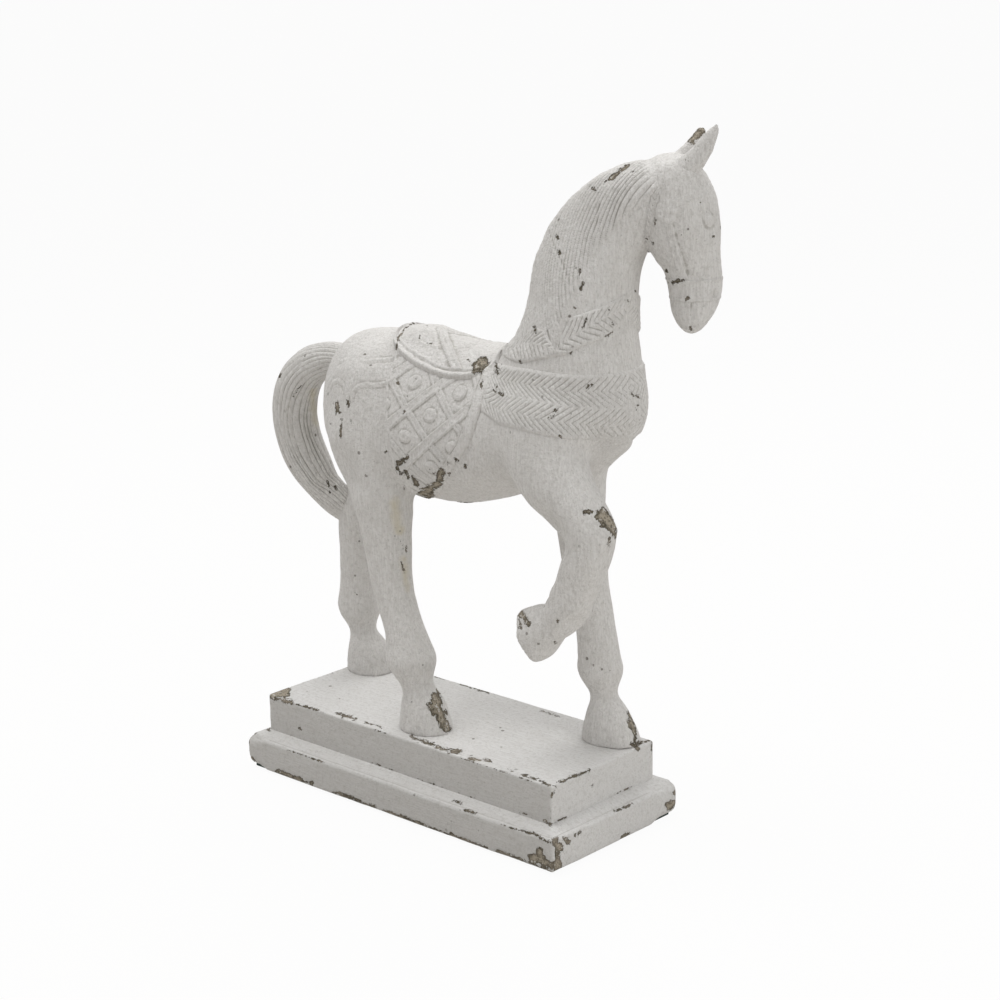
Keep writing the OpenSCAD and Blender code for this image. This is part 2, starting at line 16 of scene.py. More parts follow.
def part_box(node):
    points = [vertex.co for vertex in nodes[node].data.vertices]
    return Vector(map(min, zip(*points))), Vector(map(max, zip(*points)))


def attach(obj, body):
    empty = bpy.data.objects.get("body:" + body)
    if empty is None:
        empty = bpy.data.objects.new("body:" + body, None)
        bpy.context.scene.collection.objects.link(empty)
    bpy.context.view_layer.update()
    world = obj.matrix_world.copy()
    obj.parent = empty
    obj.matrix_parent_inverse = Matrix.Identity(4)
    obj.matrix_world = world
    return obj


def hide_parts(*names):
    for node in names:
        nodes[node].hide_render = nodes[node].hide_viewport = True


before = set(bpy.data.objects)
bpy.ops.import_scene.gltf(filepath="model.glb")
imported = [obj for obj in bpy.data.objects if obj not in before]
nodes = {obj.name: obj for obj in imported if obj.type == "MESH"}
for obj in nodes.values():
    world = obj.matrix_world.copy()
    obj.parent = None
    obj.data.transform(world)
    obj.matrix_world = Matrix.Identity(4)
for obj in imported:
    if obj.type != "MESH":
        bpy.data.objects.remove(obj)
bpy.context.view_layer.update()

MM = 0.001
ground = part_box("upper_plinth")[1].z / MM
print("nodes:", len(nodes), "height of the plinth's top:", round(ground, 1), "mm")

# %% [markdown]
# The camera stands where the photographer stood: to the front right of the horse, a little above it.
# It could be found by trial, but the straight edges of the plinth give its direction and distance exactly,
# so the direction is kept here as three angles and the place as a distance from a point on the horse.
# All lengths in this file are millimetres, and only the helper that makes a mesh turns them into metres.

# %% Set up the camera
view_turn = np.radians(42.4)
view_rise = np.radians(15.0)
view_roll = np.radians(-0.9)
view_target = np.array([41.1, 0.0, 194.1])
view_distance = 1299.8
image_size = 1000
focal_pixels = 2200
sensor = 36.0

level_back = np.array([np.sin(view_turn), -np.cos(view_turn), 0.0])
back = np.cos(view_rise) * level_back + np.array([0.0, 0.0, np.sin(view_rise)])
level = np.array([np.cos(view_turn), np.sin(view_turn), 0.0])
upright = np.cross(back, level)
right = np.cos(view_roll) * level + np.sin(view_roll) * upright
up = np.cos(view_roll) * upright - np.sin(view_roll) * level
camera_place = view_target + view_distance * back

camera = bpy.data.objects.new("camera", bpy.data.cameras.new("camera"))
bpy.context.scene.collection.objects.link(camera)
bpy.context.scene.camera = camera
camera.data.sensor_width = sensor
camera.data.lens = sensor * focal_pixels / image_size
camera.data.clip_start = 0.05
axes = np.stack([right, up, back, camera_place * MM], 1)
camera.matrix_world = Matrix([*axes.tolist(), [0, 0, 0, 1]])
print("lens:", round(camera.data.lens, 1), "mm")

# %% [markdown]
# Every piece below is a mesh made from arrays of numbers. These helpers turn arrays into a piece, read a
# piece back into arrays, and list the faces of a grid. Whole arrays keep even a fine carving fast.


# %% Helpers that turn arrays into pieces and back
def new_piece(name, points, faces, starts=None):
    """A smooth mesh object from places (n, 3) in millimetres and the corner numbers of its faces. These are
    rows of equal length, or one long row together with the place in it where each face starts."""
    if starts is None:
        starts = np.arange(0, faces.size, faces.shape[1])
    mesh = bpy.data.meshes.new(name)
    mesh.vertices.add(len(points))
    mesh.vertices.foreach_set("co", np.asarray(points * MM, np.float32).ravel())
    mesh.loops.add(faces.size)
    mesh.loops.foreach_set("vertex_index", np.asarray(faces, np.int32).ravel())
    mesh.polygons.add(len(starts))
    mesh.polygons.foreach_set("loop_start", np.asarray(starts, np.int32))
    mesh.update(calc_edges=True)
    mesh.shade_smooth()
    piece = bpy.data.objects.new(name, mesh)
    bpy.context.scene.collection.objects.link(piece)
    return piece


def read(items, field, kind, width):
    """One field of all items of a mesh as an array with a row for each item."""
    found = np.empty(len(items) * width, kind)
    items.foreach_get(field, found)
    return found.reshape(-1, width)


def points_of(mesh):
    """Corner places of a mesh in millimetres."""
    return read(mesh.vertices, "co", np.float32, 3).astype(float) / MM


def set_points(piece, points):
    """Moves the corners of a piece to new places in millimetres."""
    piece.data.vertices.foreach_set("co", np.asarray(points * MM, np.float32).ravel())
    piece.data.update()


def normals_of(mesh):
    """Outward direction at each corner of a mesh."""
    return read(mesh.vertices, "normal", np.float32, 3).astype(float)


def faces_of(mesh, corners):
    """Corner numbers of a mesh whose faces all have that many corners."""
    return read(mesh.loops, "vertex_index", np.int32, 1).reshape(-1, corners)


# %% Helpers for faces, welding and smoothing
def grid_faces(rows, columns, ring=False):
    """Faces between neighbouring rows and columns of a grid; in a ring, the last column joins the first."""
    number = np.arange(rows * columns).reshape(rows, columns)
    if ring:
        number = np.concatenate([number, number[:, :1]], 1)
    return np.stack([number[:-1, :-1], number[:-1, 1:], number[1:, 1:], number[1:, :-1]], -1).reshape(-1, 4)


def joined(parts):
    """Corners and faces of several parts as one."""
    start = np.cumsum([0] + [len(points) for points, _ in parts[:-1]])
    return (np.concatenate([points for points, _ in parts]),
            np.concatenate([faces + k for (_, faces), k in zip(parts, start)]))


def welded(piece, distance=0.01):
    """The same piece, with corners merged that lie within a distance of each other."""
    work = bmesh.new()
    work.from_mesh(piece.data)
    bmesh.ops.remove_doubles(work, verts=work.verts, dist=distance * MM)
    work.to_mesh(piece.data)
    work.free()
    return piece


def baked(piece):
    """The mesh of a piece with its modifiers carried out, as a new mesh."""
    shown = bpy.context.evaluated_depsgraph_get()
    return bpy.data.meshes.new_from_object(piece.evaluated_get(shown))


def soft_points(piece, factor, passes):
    """Corner places of a piece after some passes of a Smooth modifier. The piece itself stays as it is."""
    smooth = piece.modifiers.new("smooth", "SMOOTH")
    smooth.factor = factor
    smooth.iterations = passes
    soft = points_of(baked(piece))
    piece.modifiers.remove(smooth)
    return soft


# %% [markdown]
# Relief is worked out as a height over a distance, from a line, an edge or a place. These helpers give the
# soft steps, rounded beads and smooth curves that all later cells put together.


# %% Helpers for steps, beads and curves
def smooth_step(low, high, value):
    """Rises from 0 at low to 1 at high with a level start and end."""
    share = np.clip((value - low) / (high - low), 0, 1)
    return share * share * (3 - 2 * share)


def bump(value, width):
    """A rounded hump of height 1 at value 0 that fades out over a width to each side."""
    return np.exp(-(value / width)**2)


def moulding(distance, beads):
    """Sum of rounded beads over a distance, each with its height, its place on it and its width."""
    return sum(height * bump(distance - middle, width) for height, middle, width in beads)


def edged_band(distance, rise, foot, shoulder, beads):
    """A flat band that is full up to its shoulder and gone at its foot, with beads on it or beside it."""
    return rise * smooth_step(foot, shoulder, distance) + moulding(distance, beads)


def on_curve(stations, count):
    """Points on a smooth curve through rows of stations: cubics with the slopes of neighbouring stations."""
    stations = np.asarray(stations, float)
    place = np.linspace(0, len(stations) - 1, count)
    first = np.minimum(place.astype(int), len(stations) - 2)
    f = (place - first)[:, None]
    a, b, c, d = (stations[np.clip(first + k, 0, len(stations) - 1)] for k in (-1, 0, 1, 2))
    return b + f / 2 * ((c - a) + f * ((2 * a - 5 * b + 4 * c - d) + f * (3 * (b - c) + d - a)))


def unit(ways):
    """Directions brought to a length of 1."""
    return ways / np.maximum(np.linalg.norm(ways, axis=-1, keepdims=True), 1e-9)


def away_from(points, place):
    """Distance of each point from one place."""
    return np.linalg.norm(points - place, axis=1)


# %% [markdown]
# Worn paint and hand carving are uneven, so the script needs a noise that is the same on each run.
# A lattice noise gives each whole-number cell a value by a hash and blends between the eight cells
# round a point. Adding it at halved sizes gives both broad and fine unevenness.


# %% A repeatable noise
def cell_value(cell, seed):
    """A value from -1 to 1 for each whole-number cell: the broken-off tail of a large sine."""
    mixed = cell @ np.array([127.1, 311.7, 74.7]) + 53.7 * seed
    return 2 * np.modf(np.abs(np.sin(mixed) * 43758.5453))[0] - 1


def noise(points, size, seed=0):
    """Smooth noise from -1 to 1 with lumps of a given size: cell values blended along the three axes."""
    scaled = points / size
    cell = np.floor(scaled)
    share = scaled - cell
    share = share * share * (3 - 2 * share)
    total = np.zeros(points.shape[:-1])
    for corner in product((0, 1), repeat=3):
        weight = np.where(corner, share, 1 - share).prod(-1)
        total += weight * cell_value(cell + corner, seed)
    return total


def rough(points, size, octaves=3, seed=0):
    """Sum of noises, each half the size and half the height of the one before."""
    return sum(noise(points, size / 2**k, seed + k) / 2**k for k in range(octaves))


# %% [markdown]
# The body of the horse is one flowing surface on the real statue: the joints between the castings are
# filled and sanded before painting. Subdividing each casting would keep the creases between them, so copies
# of all castings are melted into one skin of small even faces, which is then smoothed and cut up again.

# %% Melt copies of the castings into one skin
casting_nodes = ["torso", "pour_plug", "neck_and_head", "left_hind_leg", "right_hind_leg", "left_foreleg",
                 "right_foreleg"]
skin_face = 1.0
copies = [(points_of(nodes[node].data), faces_of(nodes[node].data, 3)) for node in casting_nodes]
melted = welded(new_piece("melted", *joined(copies)))
melt = melted.modifiers.new("melt", "REMESH")
melt.mode = "VOXEL"
melt.voxel_size = skin_face * MM
skin_mesh = baked(melted)
bpy.data.objects.remove(melted)
skin = new_piece("skin", points_of(skin_mesh), faces_of(skin_mesh, 4))
print("faces of the skin:", len(skin.data.polygons))

# %% [markdown]
# The head is turned to the horse's left, and the raised foreleg leaves the shoulder along a tilted seam.
# The head could be carved straight and turned later, but the castings are already in place, so its carving
# is written in its own directions: forward, left and up from a point on the plinth's top under the poll.

# %% Directions of the head and of the raised leg
head_turn = np.radians(38)
head_place = np.array([148.0, 20.0, ground])
head_axes = np.array([[np.cos(head_turn), np.sin(head_turn), 0],
                      [-np.sin(head_turn), np.cos(head_turn), 0],
                      [0, 0, 1]])
raised_seam_place = np.array([113.0, -29.7, 220.0])
raised_seam_way = np.array([0.66, 0.0, -0.75])


def to_head(points):
    """Places of the whole object in the head's own directions."""
    return (points - head_place) @ head_axes.T


def from_head(places):
    """The reverse: places in the head's own directions as places of the whole object."""
    return places @ head_axes + head_place


print("the head looks to the left by", round(np.degrees(head_turn)), "degrees")

# %% [markdown]
# The melted skin still shows the flat facets of the solids and a hard crease wherever two masses meet.
# Plain smoothing would cure both but would also thin the legs. Smoothing once and twice and taking
# 2S - SS instead of S gives back nearly all of what one round shrinks. Hooves are smoothed a little,
# legs and head more, and the thick trunk and neck most.

# %% Smooth the skin
smooth_factor = 1.4
hoof_spread, limb_spread, trunk_spread = 1.4, 3.2, 7.0
hoof_band, trunk_band, raised_band, raised_top = (8, 26), (100, 150), (0, 30), 215
head_front_band, head_height_band = (-16, -4), (245, 260)
raised_hoof_place, raised_hoof_reach, raised_hoof_band = np.array([96.0, -30.0, ground + 83]), 24, (8, 0)


def smoothed(piece, spread):
    """Twice a smoothed copy less a doubly smoothed one; a pass adds factor * face^2 / 4 to spread^2."""
    passes = round(4 * (spread / skin_face)**2 / smooth_factor)
    once, twice = (soft_points(piece, smooth_factor, count) for count in (passes, 2 * passes))
    return 2 * once - twice


rough_cast = points_of(skin.data)
height = rough_cast[:, 2] - ground
past_seam = (rough_cast - raised_seam_place) @ raised_seam_way
in_raised_hoof = away_from(rough_cast, raised_hoof_place) < raised_hoof_reach
raised_hoof_share = smooth_step(*raised_hoof_band, rough_cast[:, 0] - raised_hoof_place[0])
hoof_share = np.maximum(1 - smooth_step(*hoof_band, height), in_raised_hoof * raised_hoof_share)
head_share = smooth_step(*head_front_band, to_head(rough_cast)[:, 0]) * smooth_step(*head_height_band, height)
raised_share = (rough_cast[:, 1] < 0) * smooth_step(*raised_band, past_seam) * (height < raised_top)
trunk_share = smooth_step(*trunk_band, height) * (1 - head_share) * (1 - raised_share)

shape = smoothed(skin, limb_spread)
shape += trunk_share[:, None] * (smoothed(skin, trunk_spread) - shape)
shape += hoof_share[:, None] * (smoothed(skin, hoof_spread) - shape)
shape[:, 2] = np.maximum(shape[:, 2], ground)
set_points(skin, shape)
print("box of the skin:", shape.min(0).round(1), shape.max(0).round(1))

# %% [markdown]
# Several forms are placed where the photo shows them. Measuring each of them by hand would be slow, so a ray
# goes from the camera through a pixel, and the place where it meets the skin is the place of that form.

# %% Find places on the skin under pixels of the photo
mirror = np.array([1, -1, 1])
both_sides = np.array([[1, 1, 1], mirror])


def tree_of(piece):
    """A search tree of a piece's faces, which finds where a ray meets them."""
    return BVHTree.FromObject(piece, bpy.context.evaluated_depsgraph_get())


def under_pixel(tree, column, row):
    """Place in millimetres where a ray from the camera through a pixel meets a surface, or None."""
    middle = image_size / 2
    ray = (right * (column - middle) - up * (row - middle)) / focal_pixels - back
    hit = tree.ray_cast(Vector(camera_place * MM), Vector(ray))[0]
    return None if hit is None else np.array(hit) / MM


def path_on_skin(pixels):
    """Places on the skin under a row of pixels."""
    return np.array([under_pixel(skin_tree, *pixel) for pixel in pixels])


def distance_to_path(points, path):
    """Distance of each point from a bent line: the least of its distances from the straight stretches."""
    nearest = np.full(len(points), np.inf)
    for start, end in zip(path[:-1], path[1:]):
        way = end - start
        share = np.clip((points - start) @ way / (way @ way), 0, 1)[:, None]
        nearest = np.minimum(nearest, np.linalg.norm(points - start - share * way, axis=1))
    return nearest


skin_tree = tree_of(skin)
middle_place = under_pixel(skin_tree, image_size / 2, image_size / 2)
print("the photo's middle shows the place", middle_place.round(1))

# %% [markdown]
# A sculptor pushes clay in or out until its outline agrees with the model's. The same is done here by nudges:
# the place under one pixel moves towards another pixel, and what lies near it comes along. Moving the
# castings themselves would shift the seams and the holes for their dowels, so only the skin is nudged.


# %% Nudge the outlines of the skin
def depth_of(points):
    """Distance of places from the camera along its line of sight."""
    return (camera_place - points) @ back


def nudged(points, nudges, copies=((1, 1, 1),)):
    """Places pulled like soft clay. A nudge is a column and row, a new column and row, and a reach in
    millimetres: its pull keeps the distance from the camera and fades out over the reach."""
    moved = points.copy()
    for column, row, to_column, to_row, reach in nudges:
        place = under_pixel(skin_tree, column, row)
        pull = (right * (to_column - column) - up * (to_row - row)) * depth_of(place) / focal_pixels
        for side in copies:
            share = bump(away_from(points, place * side), reach)
            moved += share[:, None] * pull * side
    return moved


rump_nudges = [(326, 392, 335, 392, 20), (332, 438, 329, 438, 9), (340, 462, 347, 462, 11),
               (348, 481, 355, 481, 10)]
thigh_nudges = [(347, 491, 355, 491, 9)]
belly_nudges = [(490, 498, 490, 494, 26), (442, 495, 442, 490, 16)]
chest_nudges = [(636, 403, 634.5, 403, 14), (611, 477, 602.5, 477, 12), (616, 450, 622, 451, 9),
                (624, 440, 629, 441.5, 8), (623, 433, 626.5, 434, 7)]
poll_nudges = [(660, 161, 660, 166, 10), (636, 166, 636, 169, 8)]
crest_nudges = [(530, 296, 534, 296, 14), (524, 324, 528, 324, 14), (508, 352, 508, 344, 9)]
shin_nudges = [(612, 555, 606, 555, 8), (606, 572, 601, 572, 8), (592, 604, 588, 604, 8),
               (575, 628, 571, 621, 8), (560, 645, 556.5, 644.5, 7), (541, 656, 536.5, 660.5, 6),
               (517, 623, 520, 625, 6), (554, 594, 551, 593, 5), (566, 567, 562, 566, 8),
               (560, 582, 556.5, 582, 8)]
knee_nudges = [(613, 527, 616, 530, 5), (543, 515, 548, 513.5, 8), (555, 529, 560, 528, 8)]
single_nudges = (belly_nudges + chest_nudges + poll_nudges + thigh_nudges + crest_nudges + shin_nudges
                 + knee_nudges)
points = nudged(points_of(skin.data), rump_nudges, both_sides)
set_points(skin, nudged(points, single_nudges))
skin_tree = tree_of(skin)
print("nudges:", len(rump_nudges + single_nudges))

# %% [markdown]
# Some forms are too small for the castings' solids: the swells of the chest, the raised cords on the croup,
# the eyes, nostrils and lips, and the knob and the pinch above each hoof. A sculptor would press them into
# the clay, so here corners of the skin move along their own normals. The height adds up over three cells,
# from the distances to places and lines, and the last of them moves the corners.

# %% Carve the trunk
chest_place, chest_reach, chest_rise = np.array([139.0, 3.0, ground + 222]), 30, 3.5
brisket_place, brisket_reach, brisket_rise = np.array([135.0, 7.0, ground + 203]), 17, 4.0
rump_place, rump_reach, rump_sink = np.array([-60.0, -44.0, ground + 188]), 22, 2.2
croup_cord_pixels = [(340, 361), (366, 361), (392, 358.5)]
haunch_cord_pixels = [(351, 399), (353, 391), (358, 386), (365, 384.5), (375, 385), (386, 383.5)]
buttock_cord_pixels = [(329, 388), (332, 382), (337, 380), (342, 384), (345, 392), (347, 401)]
cord_beads = [(0.42, 0, 0.9), (-0.2, 2.2, 0.8)]

points, normals = points_of(skin.data), normals_of(skin.data)
relief = chest_rise * bump(away_from(points, chest_place), chest_reach)
relief += brisket_rise * bump(away_from(points, brisket_place), brisket_reach)
for side in both_sides:
    relief -= rump_sink * bump(away_from(points, rump_place * side), rump_reach)
    for pixels in (croup_cord_pixels, haunch_cord_pixels, buttock_cord_pixels):
        relief += moulding(distance_to_path(points, path_on_skin(pixels) * side), cord_beads)
print("carving of the trunk from", relief.min().round(2), "to", relief.max().round(2), "mm")

# %% Carve the head
eye_pixel, eye_way, eye_half_length, eye_half_width = (709.5, 220), np.array([0.62, 0.0, -0.78]), 3.8, 2.3
eye_beads = [(1.4, 0, 1.05), (-0.55, 1.55, 0.8)]
cheek_pixels = [(670, 213), (674.5, 228), (678.5, 244), (685.5, 264.5), (688, 275)]
cheek_beads = [(0.2, 2.0, 1.2), (-0.3, 0, 1.1)]
nostril_place, nostril_stretch = np.array([27.0, -8.5, 279.0]), np.array([1, 1, 0.7])
nostril_beads = [(0.4, 3.2, 0.9), (-0.8, 0, 1.8)]
lip_path = np.array([[14.5, -12.3, 275.0], [14.0, -12.0, 268.0], [14.2, -9.4, 259.0], [16.0, -5.0, 256.5]])
lip_beads = [(-0.5, 0, 0.9)]
ear_feet = np.array([[[5.0, -7.0, 341.0], [13.0, -9.2, 348.5]], [[0.0, 7.0, 340.5], [7.0, 9.0, 348.0]]])
ear_foot_rise, ear_foot_reach = 1.9, 8.0

in_head = to_head(points)
eye_place = to_head(under_pixel(skin_tree, *eye_pixel))
cheek_path = to_head(path_on_skin(cheek_pixels))
for side in both_sides:
    away = in_head - eye_place * side
    along = away @ eye_way
    across = np.sqrt(np.maximum((away**2).sum(1) - along**2, 0))
    relief += moulding(np.hypot(along / eye_half_length, across / eye_half_width), eye_beads)
    relief += moulding(distance_to_path(in_head, cheek_path * side), cheek_beads)
    from_nostril = away_from(in_head * nostril_stretch, nostril_place * nostril_stretch * side)
    relief += moulding(from_nostril, nostril_beads)
    relief += moulding(distance_to_path(in_head, lip_path * side), lip_beads)
for foot in ear_feet:
    relief += ear_foot_rise * bump(distance_to_path(in_head, foot), ear_foot_reach)
print("place of the eye in the head:", eye_place.round(1))

# %% Carve the feet, roughen the skin and move its corners
fetlock_height, fetlock_rise = ground + 43, 1.3
pastern_height, pastern_sink, foot_width = ground + 28, 1.4, 6.5
foreleg_start, toe_band, toe_facing, toe_reach = 60, (30, 2), (0.0, 0.8), 4.0
skin_lump, skin_lump_rise, face_lump, face_lump_rise = 12.0, 0.3, 3.4, 0.25
sole_band, face_front_band, face_height_band = (2, 8), (-12, 0), (250, 262)
pour_place, pour_radius, pour_lip, pour_depth, belly_height = np.array([15.0, 0.0]), 7.9, 0.5, 3.0, (135, 155)
brisket_soft_reach, brisket_spread = 18, 5.0

height = points[:, 2] - ground
relief += fetlock_rise * bump(points[:, 2] - fetlock_height, foot_width)
relief -= pastern_sink * bump(points[:, 2] - pastern_height, foot_width)
relief += skin_lump_rise * rough(points, skin_lump, seed=91) * smooth_step(*sole_band, height)
face_share = smooth_step(*face_front_band, in_head[:, 0]) * smooth_step(*face_height_band, height)
relief += face_lump_rise * face_share * rough(points, face_lump, octaves=2, seed=92)
points = points + relief[:, None] * normals

height = points[:, 2] - ground
at_toe = smooth_step(*toe_band, height) * smooth_step(*toe_facing, normals[:, 0])
points[:, 0] += toe_reach * at_toe * (points[:, 0] > foreleg_start)
from_pour = away_from(points[:, :2], pour_place)
under_belly = (height > belly_height[0]) & (height < belly_height[1])
in_pour = smooth_step(pour_radius + pour_lip, pour_radius - pour_lip, from_pour)
points[:, 2] += pour_depth * under_belly * in_pour
set_points(skin, points)
brisket_share = bump(away_from(points, brisket_place), brisket_soft_reach)
set_points(skin, points + brisket_share[:, None] * (smoothed(skin, brisket_spread) - points))
skin_tree = tree_of(skin)
print("carving from", relief.min().round(2), "to", relief.max().round(2), "mm")

# %% [markdown]
# Tack, mane and straps are low relief that follows the body. Each one starts as a grid of places near the
# skin. A Shrinkwrap modifier presses the grid onto the skin, and the relief then rises from it as an array
# of heights, so a pattern is a formula of lengths along the piece. The grid is closed underneath, so that
# every piece is a solid layer.


# %% Helpers for layers on the skin
def pressed(places, even=2):
    """A grid of places moved to the nearest points of the skin, then each averaged with its neighbours."""
    rows, columns = places.shape[:2]
    sheet = new_piece("sheet", places.reshape(-1, 3), grid_faces(rows, columns))
    wrap = sheet.modifiers.new("wrap", "SHRINKWRAP")
    wrap.target = skin
    wrap.wrap_method = "NEAREST_SURFACEPOINT"
    found = points_of(baked(sheet)).reshape(places.shape)
    bpy.data.objects.remove(sheet)
    for _ in range(even):
        found[1:-1] = (found[:-2] + 2 * found[1:-1] + found[2:]) / 4
        found[:, 1:-1] = (found[:, :-2] + 2 * found[:, 1:-1] + found[:, 2:]) / 4
    return found


def outward(grid):
    """Unit direction away from the body at each place of a grid: across its columns, then its rows."""
    return unit(np.cross(np.gradient(grid, axis=1), np.gradient(grid, axis=0)))


def lengths(grid, axis):
    """Length along a grid's rows or columns up to each place."""
    steps = np.linalg.norm(np.diff(grid, axis=axis), axis=-1)
    start = np.zeros_like(np.take(steps, [0], axis=axis))
    return np.concatenate([start, np.cumsum(steps, axis=axis)], axis=axis)


def from_rim(grid):
    """Distance of each place from the nearest border of its grid, measured along its row and its column."""
    down, over = lengths(grid, 0), lengths(grid, 1)
    return np.minimum(np.minimum(down, down[-1:] - down), np.minimum(over, over[:, -1:] - over))


def layer(base, top, floor=-1.0):
    """Corners and faces of a closed layer whose upper and lower faces lie top and floor above a base grid."""
    out = outward(base)
    rows, columns = base.shape[:2]
    count = rows * columns
    upper = base + np.asarray(top)[..., None] * out
    lower = base + floor * out
    faces = grid_faces(rows, columns)
    number = np.arange(count).reshape(rows, columns)
    rim = np.concatenate([number[0, :-1], number[:-1, -1], number[-1, :0:-1], number[:0:-1, 0]])
    following = np.roll(rim, -1)
    walls = np.stack([following, rim, rim + count, following + count], 1)
    return (np.concatenate([upper.reshape(-1, 3), lower.reshape(-1, 3)]),
            np.concatenate([faces, faces[:, ::-1] + count, walls]))


def ridges(phase):
    """Rounded ridges, one for each whole phase: 0 in the narrow grooves between them and 1 on top."""
    return np.sqrt(np.abs(np.sin(np.pi * phase)))


# %% [markdown]
# The saddle cloth hangs over the back in two points. Its rows run over the barrel from the right point to
# the left one, and its columns from the rear edge to the front edge. A lattice of straps with a round boss
# in each diamond is modelled in it, all as heights over its place along the horse and up it.

# %% The shape of the saddle cloth
barrel_middle, barrel_half_height, barrel_half_width = ground + 188.5, 47.5, 43.0
cloth_rear = np.array([[4, 148], [-1, 150.5], [-3, 155], [-3, 168], [-5.5, 180], [-6, 188], [-11, 202],
                       [-14, 212], [-17, 226], [-27, 236], [-27, 300]])
cloth_front = np.array([[11, 148], [21, 153], [33, 164], [43, 174], [50, 182], [56, 189], [60, 199],
                        [62, 211], [61, 222], [57, 236], [50, 300]])
cloth_rows, cloth_columns, cloth_reach, cloth_lift = 300, 118, 149.5, 4


def over_back(turn, along, lift):
    """Places round the barrel: turn from the top of the back in radians, and place along the horse."""
    across = (barrel_half_width + lift) * np.sin(turn)
    rise = barrel_middle + (barrel_half_height + lift) * np.cos(turn)
    return np.stack(np.broadcast_arrays(along, across, rise), -1)


cloth_turn = np.radians(np.linspace(-cloth_reach, cloth_reach, cloth_rows))[:, None]
cloth_height = over_back(cloth_turn, 0.0, 0)[..., 2] - ground
rear_edge = np.interp(cloth_height, cloth_rear[:, 1], cloth_rear[:, 0])
front_edge = np.interp(cloth_height, cloth_front[:, 1], cloth_front[:, 0])
share = np.linspace(0, 1, cloth_columns)[None]
cloth_base = pressed(over_back(cloth_turn, rear_edge + share * (front_edge - rear_edge), cloth_lift))
print("length of the saddle cloth over the back:", lengths(cloth_base, 0)[-1].max().round(), "mm")

# %% The pattern of the saddle cloth
slant_way, slant_start, slant_pitch = (-0.62, 0.785), 130.5, 24.3
cross_way, cross_start, cross_pitch = (0.605, 0.796), 165.3, 21.6
boss_radius, border = 4.6, 7.0
strap_band = (0.45, 3.2, 2.4, [(0.5, 2.3, 0.6)])
cross_band = (0.4, 2.2, 1.5, [(0.45, 1.4, 0.55)])
boss_band = (1.0, boss_radius, boss_radius - 1.4, [(-0.35, boss_radius + 0.6, 0.6), (-0.3, 0, 1.6)])
border_band = (0.35, border, border - 0.8, [(0.3, border - 0.8, 0.6)])
cloth_rim = [(0.8, 1.4, 1.1)]
cloth_thickness, front_thinning, cloth_edge_drop, cloth_lump, cloth_lump_rise = 2.1, 0.45, 0.9, 4.0, 0.18

along, rise = cloth_base[..., 0], cloth_base[..., 2] - ground
slant = (slant_way[0] * along + slant_way[1] * rise - slant_start) / slant_pitch
cross = (cross_way[0] * along + cross_way[1] * rise - cross_start) / cross_pitch
to_strap = np.abs(slant - np.round(slant)) * slant_pitch
to_cross = np.abs(cross - np.round(cross)) * cross_pitch
to_boss = np.hypot(slant_pitch / 2 - to_strap, cross_pitch / 2 - to_cross)
rim_length = from_rim(cloth_base)
over = lengths(cloth_base, 1)
to_front = over[:, -1:] - over
cross_relief = edged_band(to_cross, *cross_band) * smooth_step(2.0, 3.2, to_strap)
lattice = np.maximum(edged_band(to_strap, *strap_band), cross_relief)
inside = smooth_step(border, border + 1.5, to_front) * smooth_step(1.5, 3.0, rim_length)
cloth_relief = inside * np.maximum(lattice, edged_band(to_boss, *boss_band))
rim_bead = moulding(rim_length, cloth_rim) * smooth_step(1.5, 5.0, to_front)
cloth_relief = np.maximum(cloth_relief, np.maximum(edged_band(to_front, *border_band), rim_bead))
cloth_relief += cloth_lump_rise * rough(cloth_base, cloth_lump, seed=11)
cloth_top = cloth_thickness * (1 - front_thinning * smooth_step(6.5, 0.5, to_front))
cloth_top = cloth_top + cloth_relief - cloth_edge_drop * bump(rim_length, 0.7)
saddle_cloth = new_piece("saddle_cloth_cast", *layer(cloth_base, cloth_top))
print("triangles of the saddle cloth:", 2 * len(saddle_cloth.data.polygons))

# %% [markdown]
# The saddle is a round pad on the cloth with a rolled edge. Its columns run along the back, and each
# reaches down both sides as far as the lower edge. The roll is a bead at a fixed distance from the rim,
# and a strap with two raised edges, a seam and a scroll cross each side. The pad thins out at the withers.

# %% The shape of the saddle
saddle_edge = np.array([[-31, 4], [-30, 12], [-27.5, 20], [-22.5, 27], [-13, 33.5], [0, 39], [18, 43.5],
                        [34, 44.5], [45, 42], [52, 36.5], [56.5, 28], [58.5, 18], [59.5, 8]])
saddle_rows, saddle_columns, saddle_lift = 200, 150, 5
saddle_along, saddle_turn = on_curve(saddle_edge, saddle_columns).T
share = np.linspace(-1, 1, saddle_rows)[:, None]
saddle_base = pressed(over_back(np.radians(share * saddle_turn), saddle_along[None], saddle_lift))
print("length of the saddle:", round(np.ptp(saddle_along)), "mm")

# %% The roll, the straps and the scrolls of the saddle
saddle_strap_pixels = [(441, 339.5), (451, 355), (461, 374)]
saddle_seam_pixels = [(453.5, 355), (469, 352.5), (484, 349.5)]
saddle_scroll_pixels = [(417, 348), (421, 342), (425, 340), (430, 342), (432, 347), (428, 351), (424, 349)]
saddle_curl_pixels = [(417, 355), (424, 361), (433, 363), (440, 359), (438, 352), (433, 352)]
saddle_strap_band = (0.45, 2.4, 1.8, [(0.6, 1.9, 0.5)])
seam_beads, scroll_beads = [(0.55, 0, 0.8)], [(0.45, 0, 0.8)]
roll_beads = [(1.2, 1.9, 1.6), (-0.4, 4.4, 0.8), (0.3, 5.8, 0.8)]
saddle_thickness, saddle_edge_drop, pommel_band = 4.1, 1.6, (44, 57)
seat_height, seat_place, seat_reach, seat_fall = 2.8, -12, 13, (0.75, 0.2)
saddle_lump, saddle_lump_rise = 5.0, 0.2


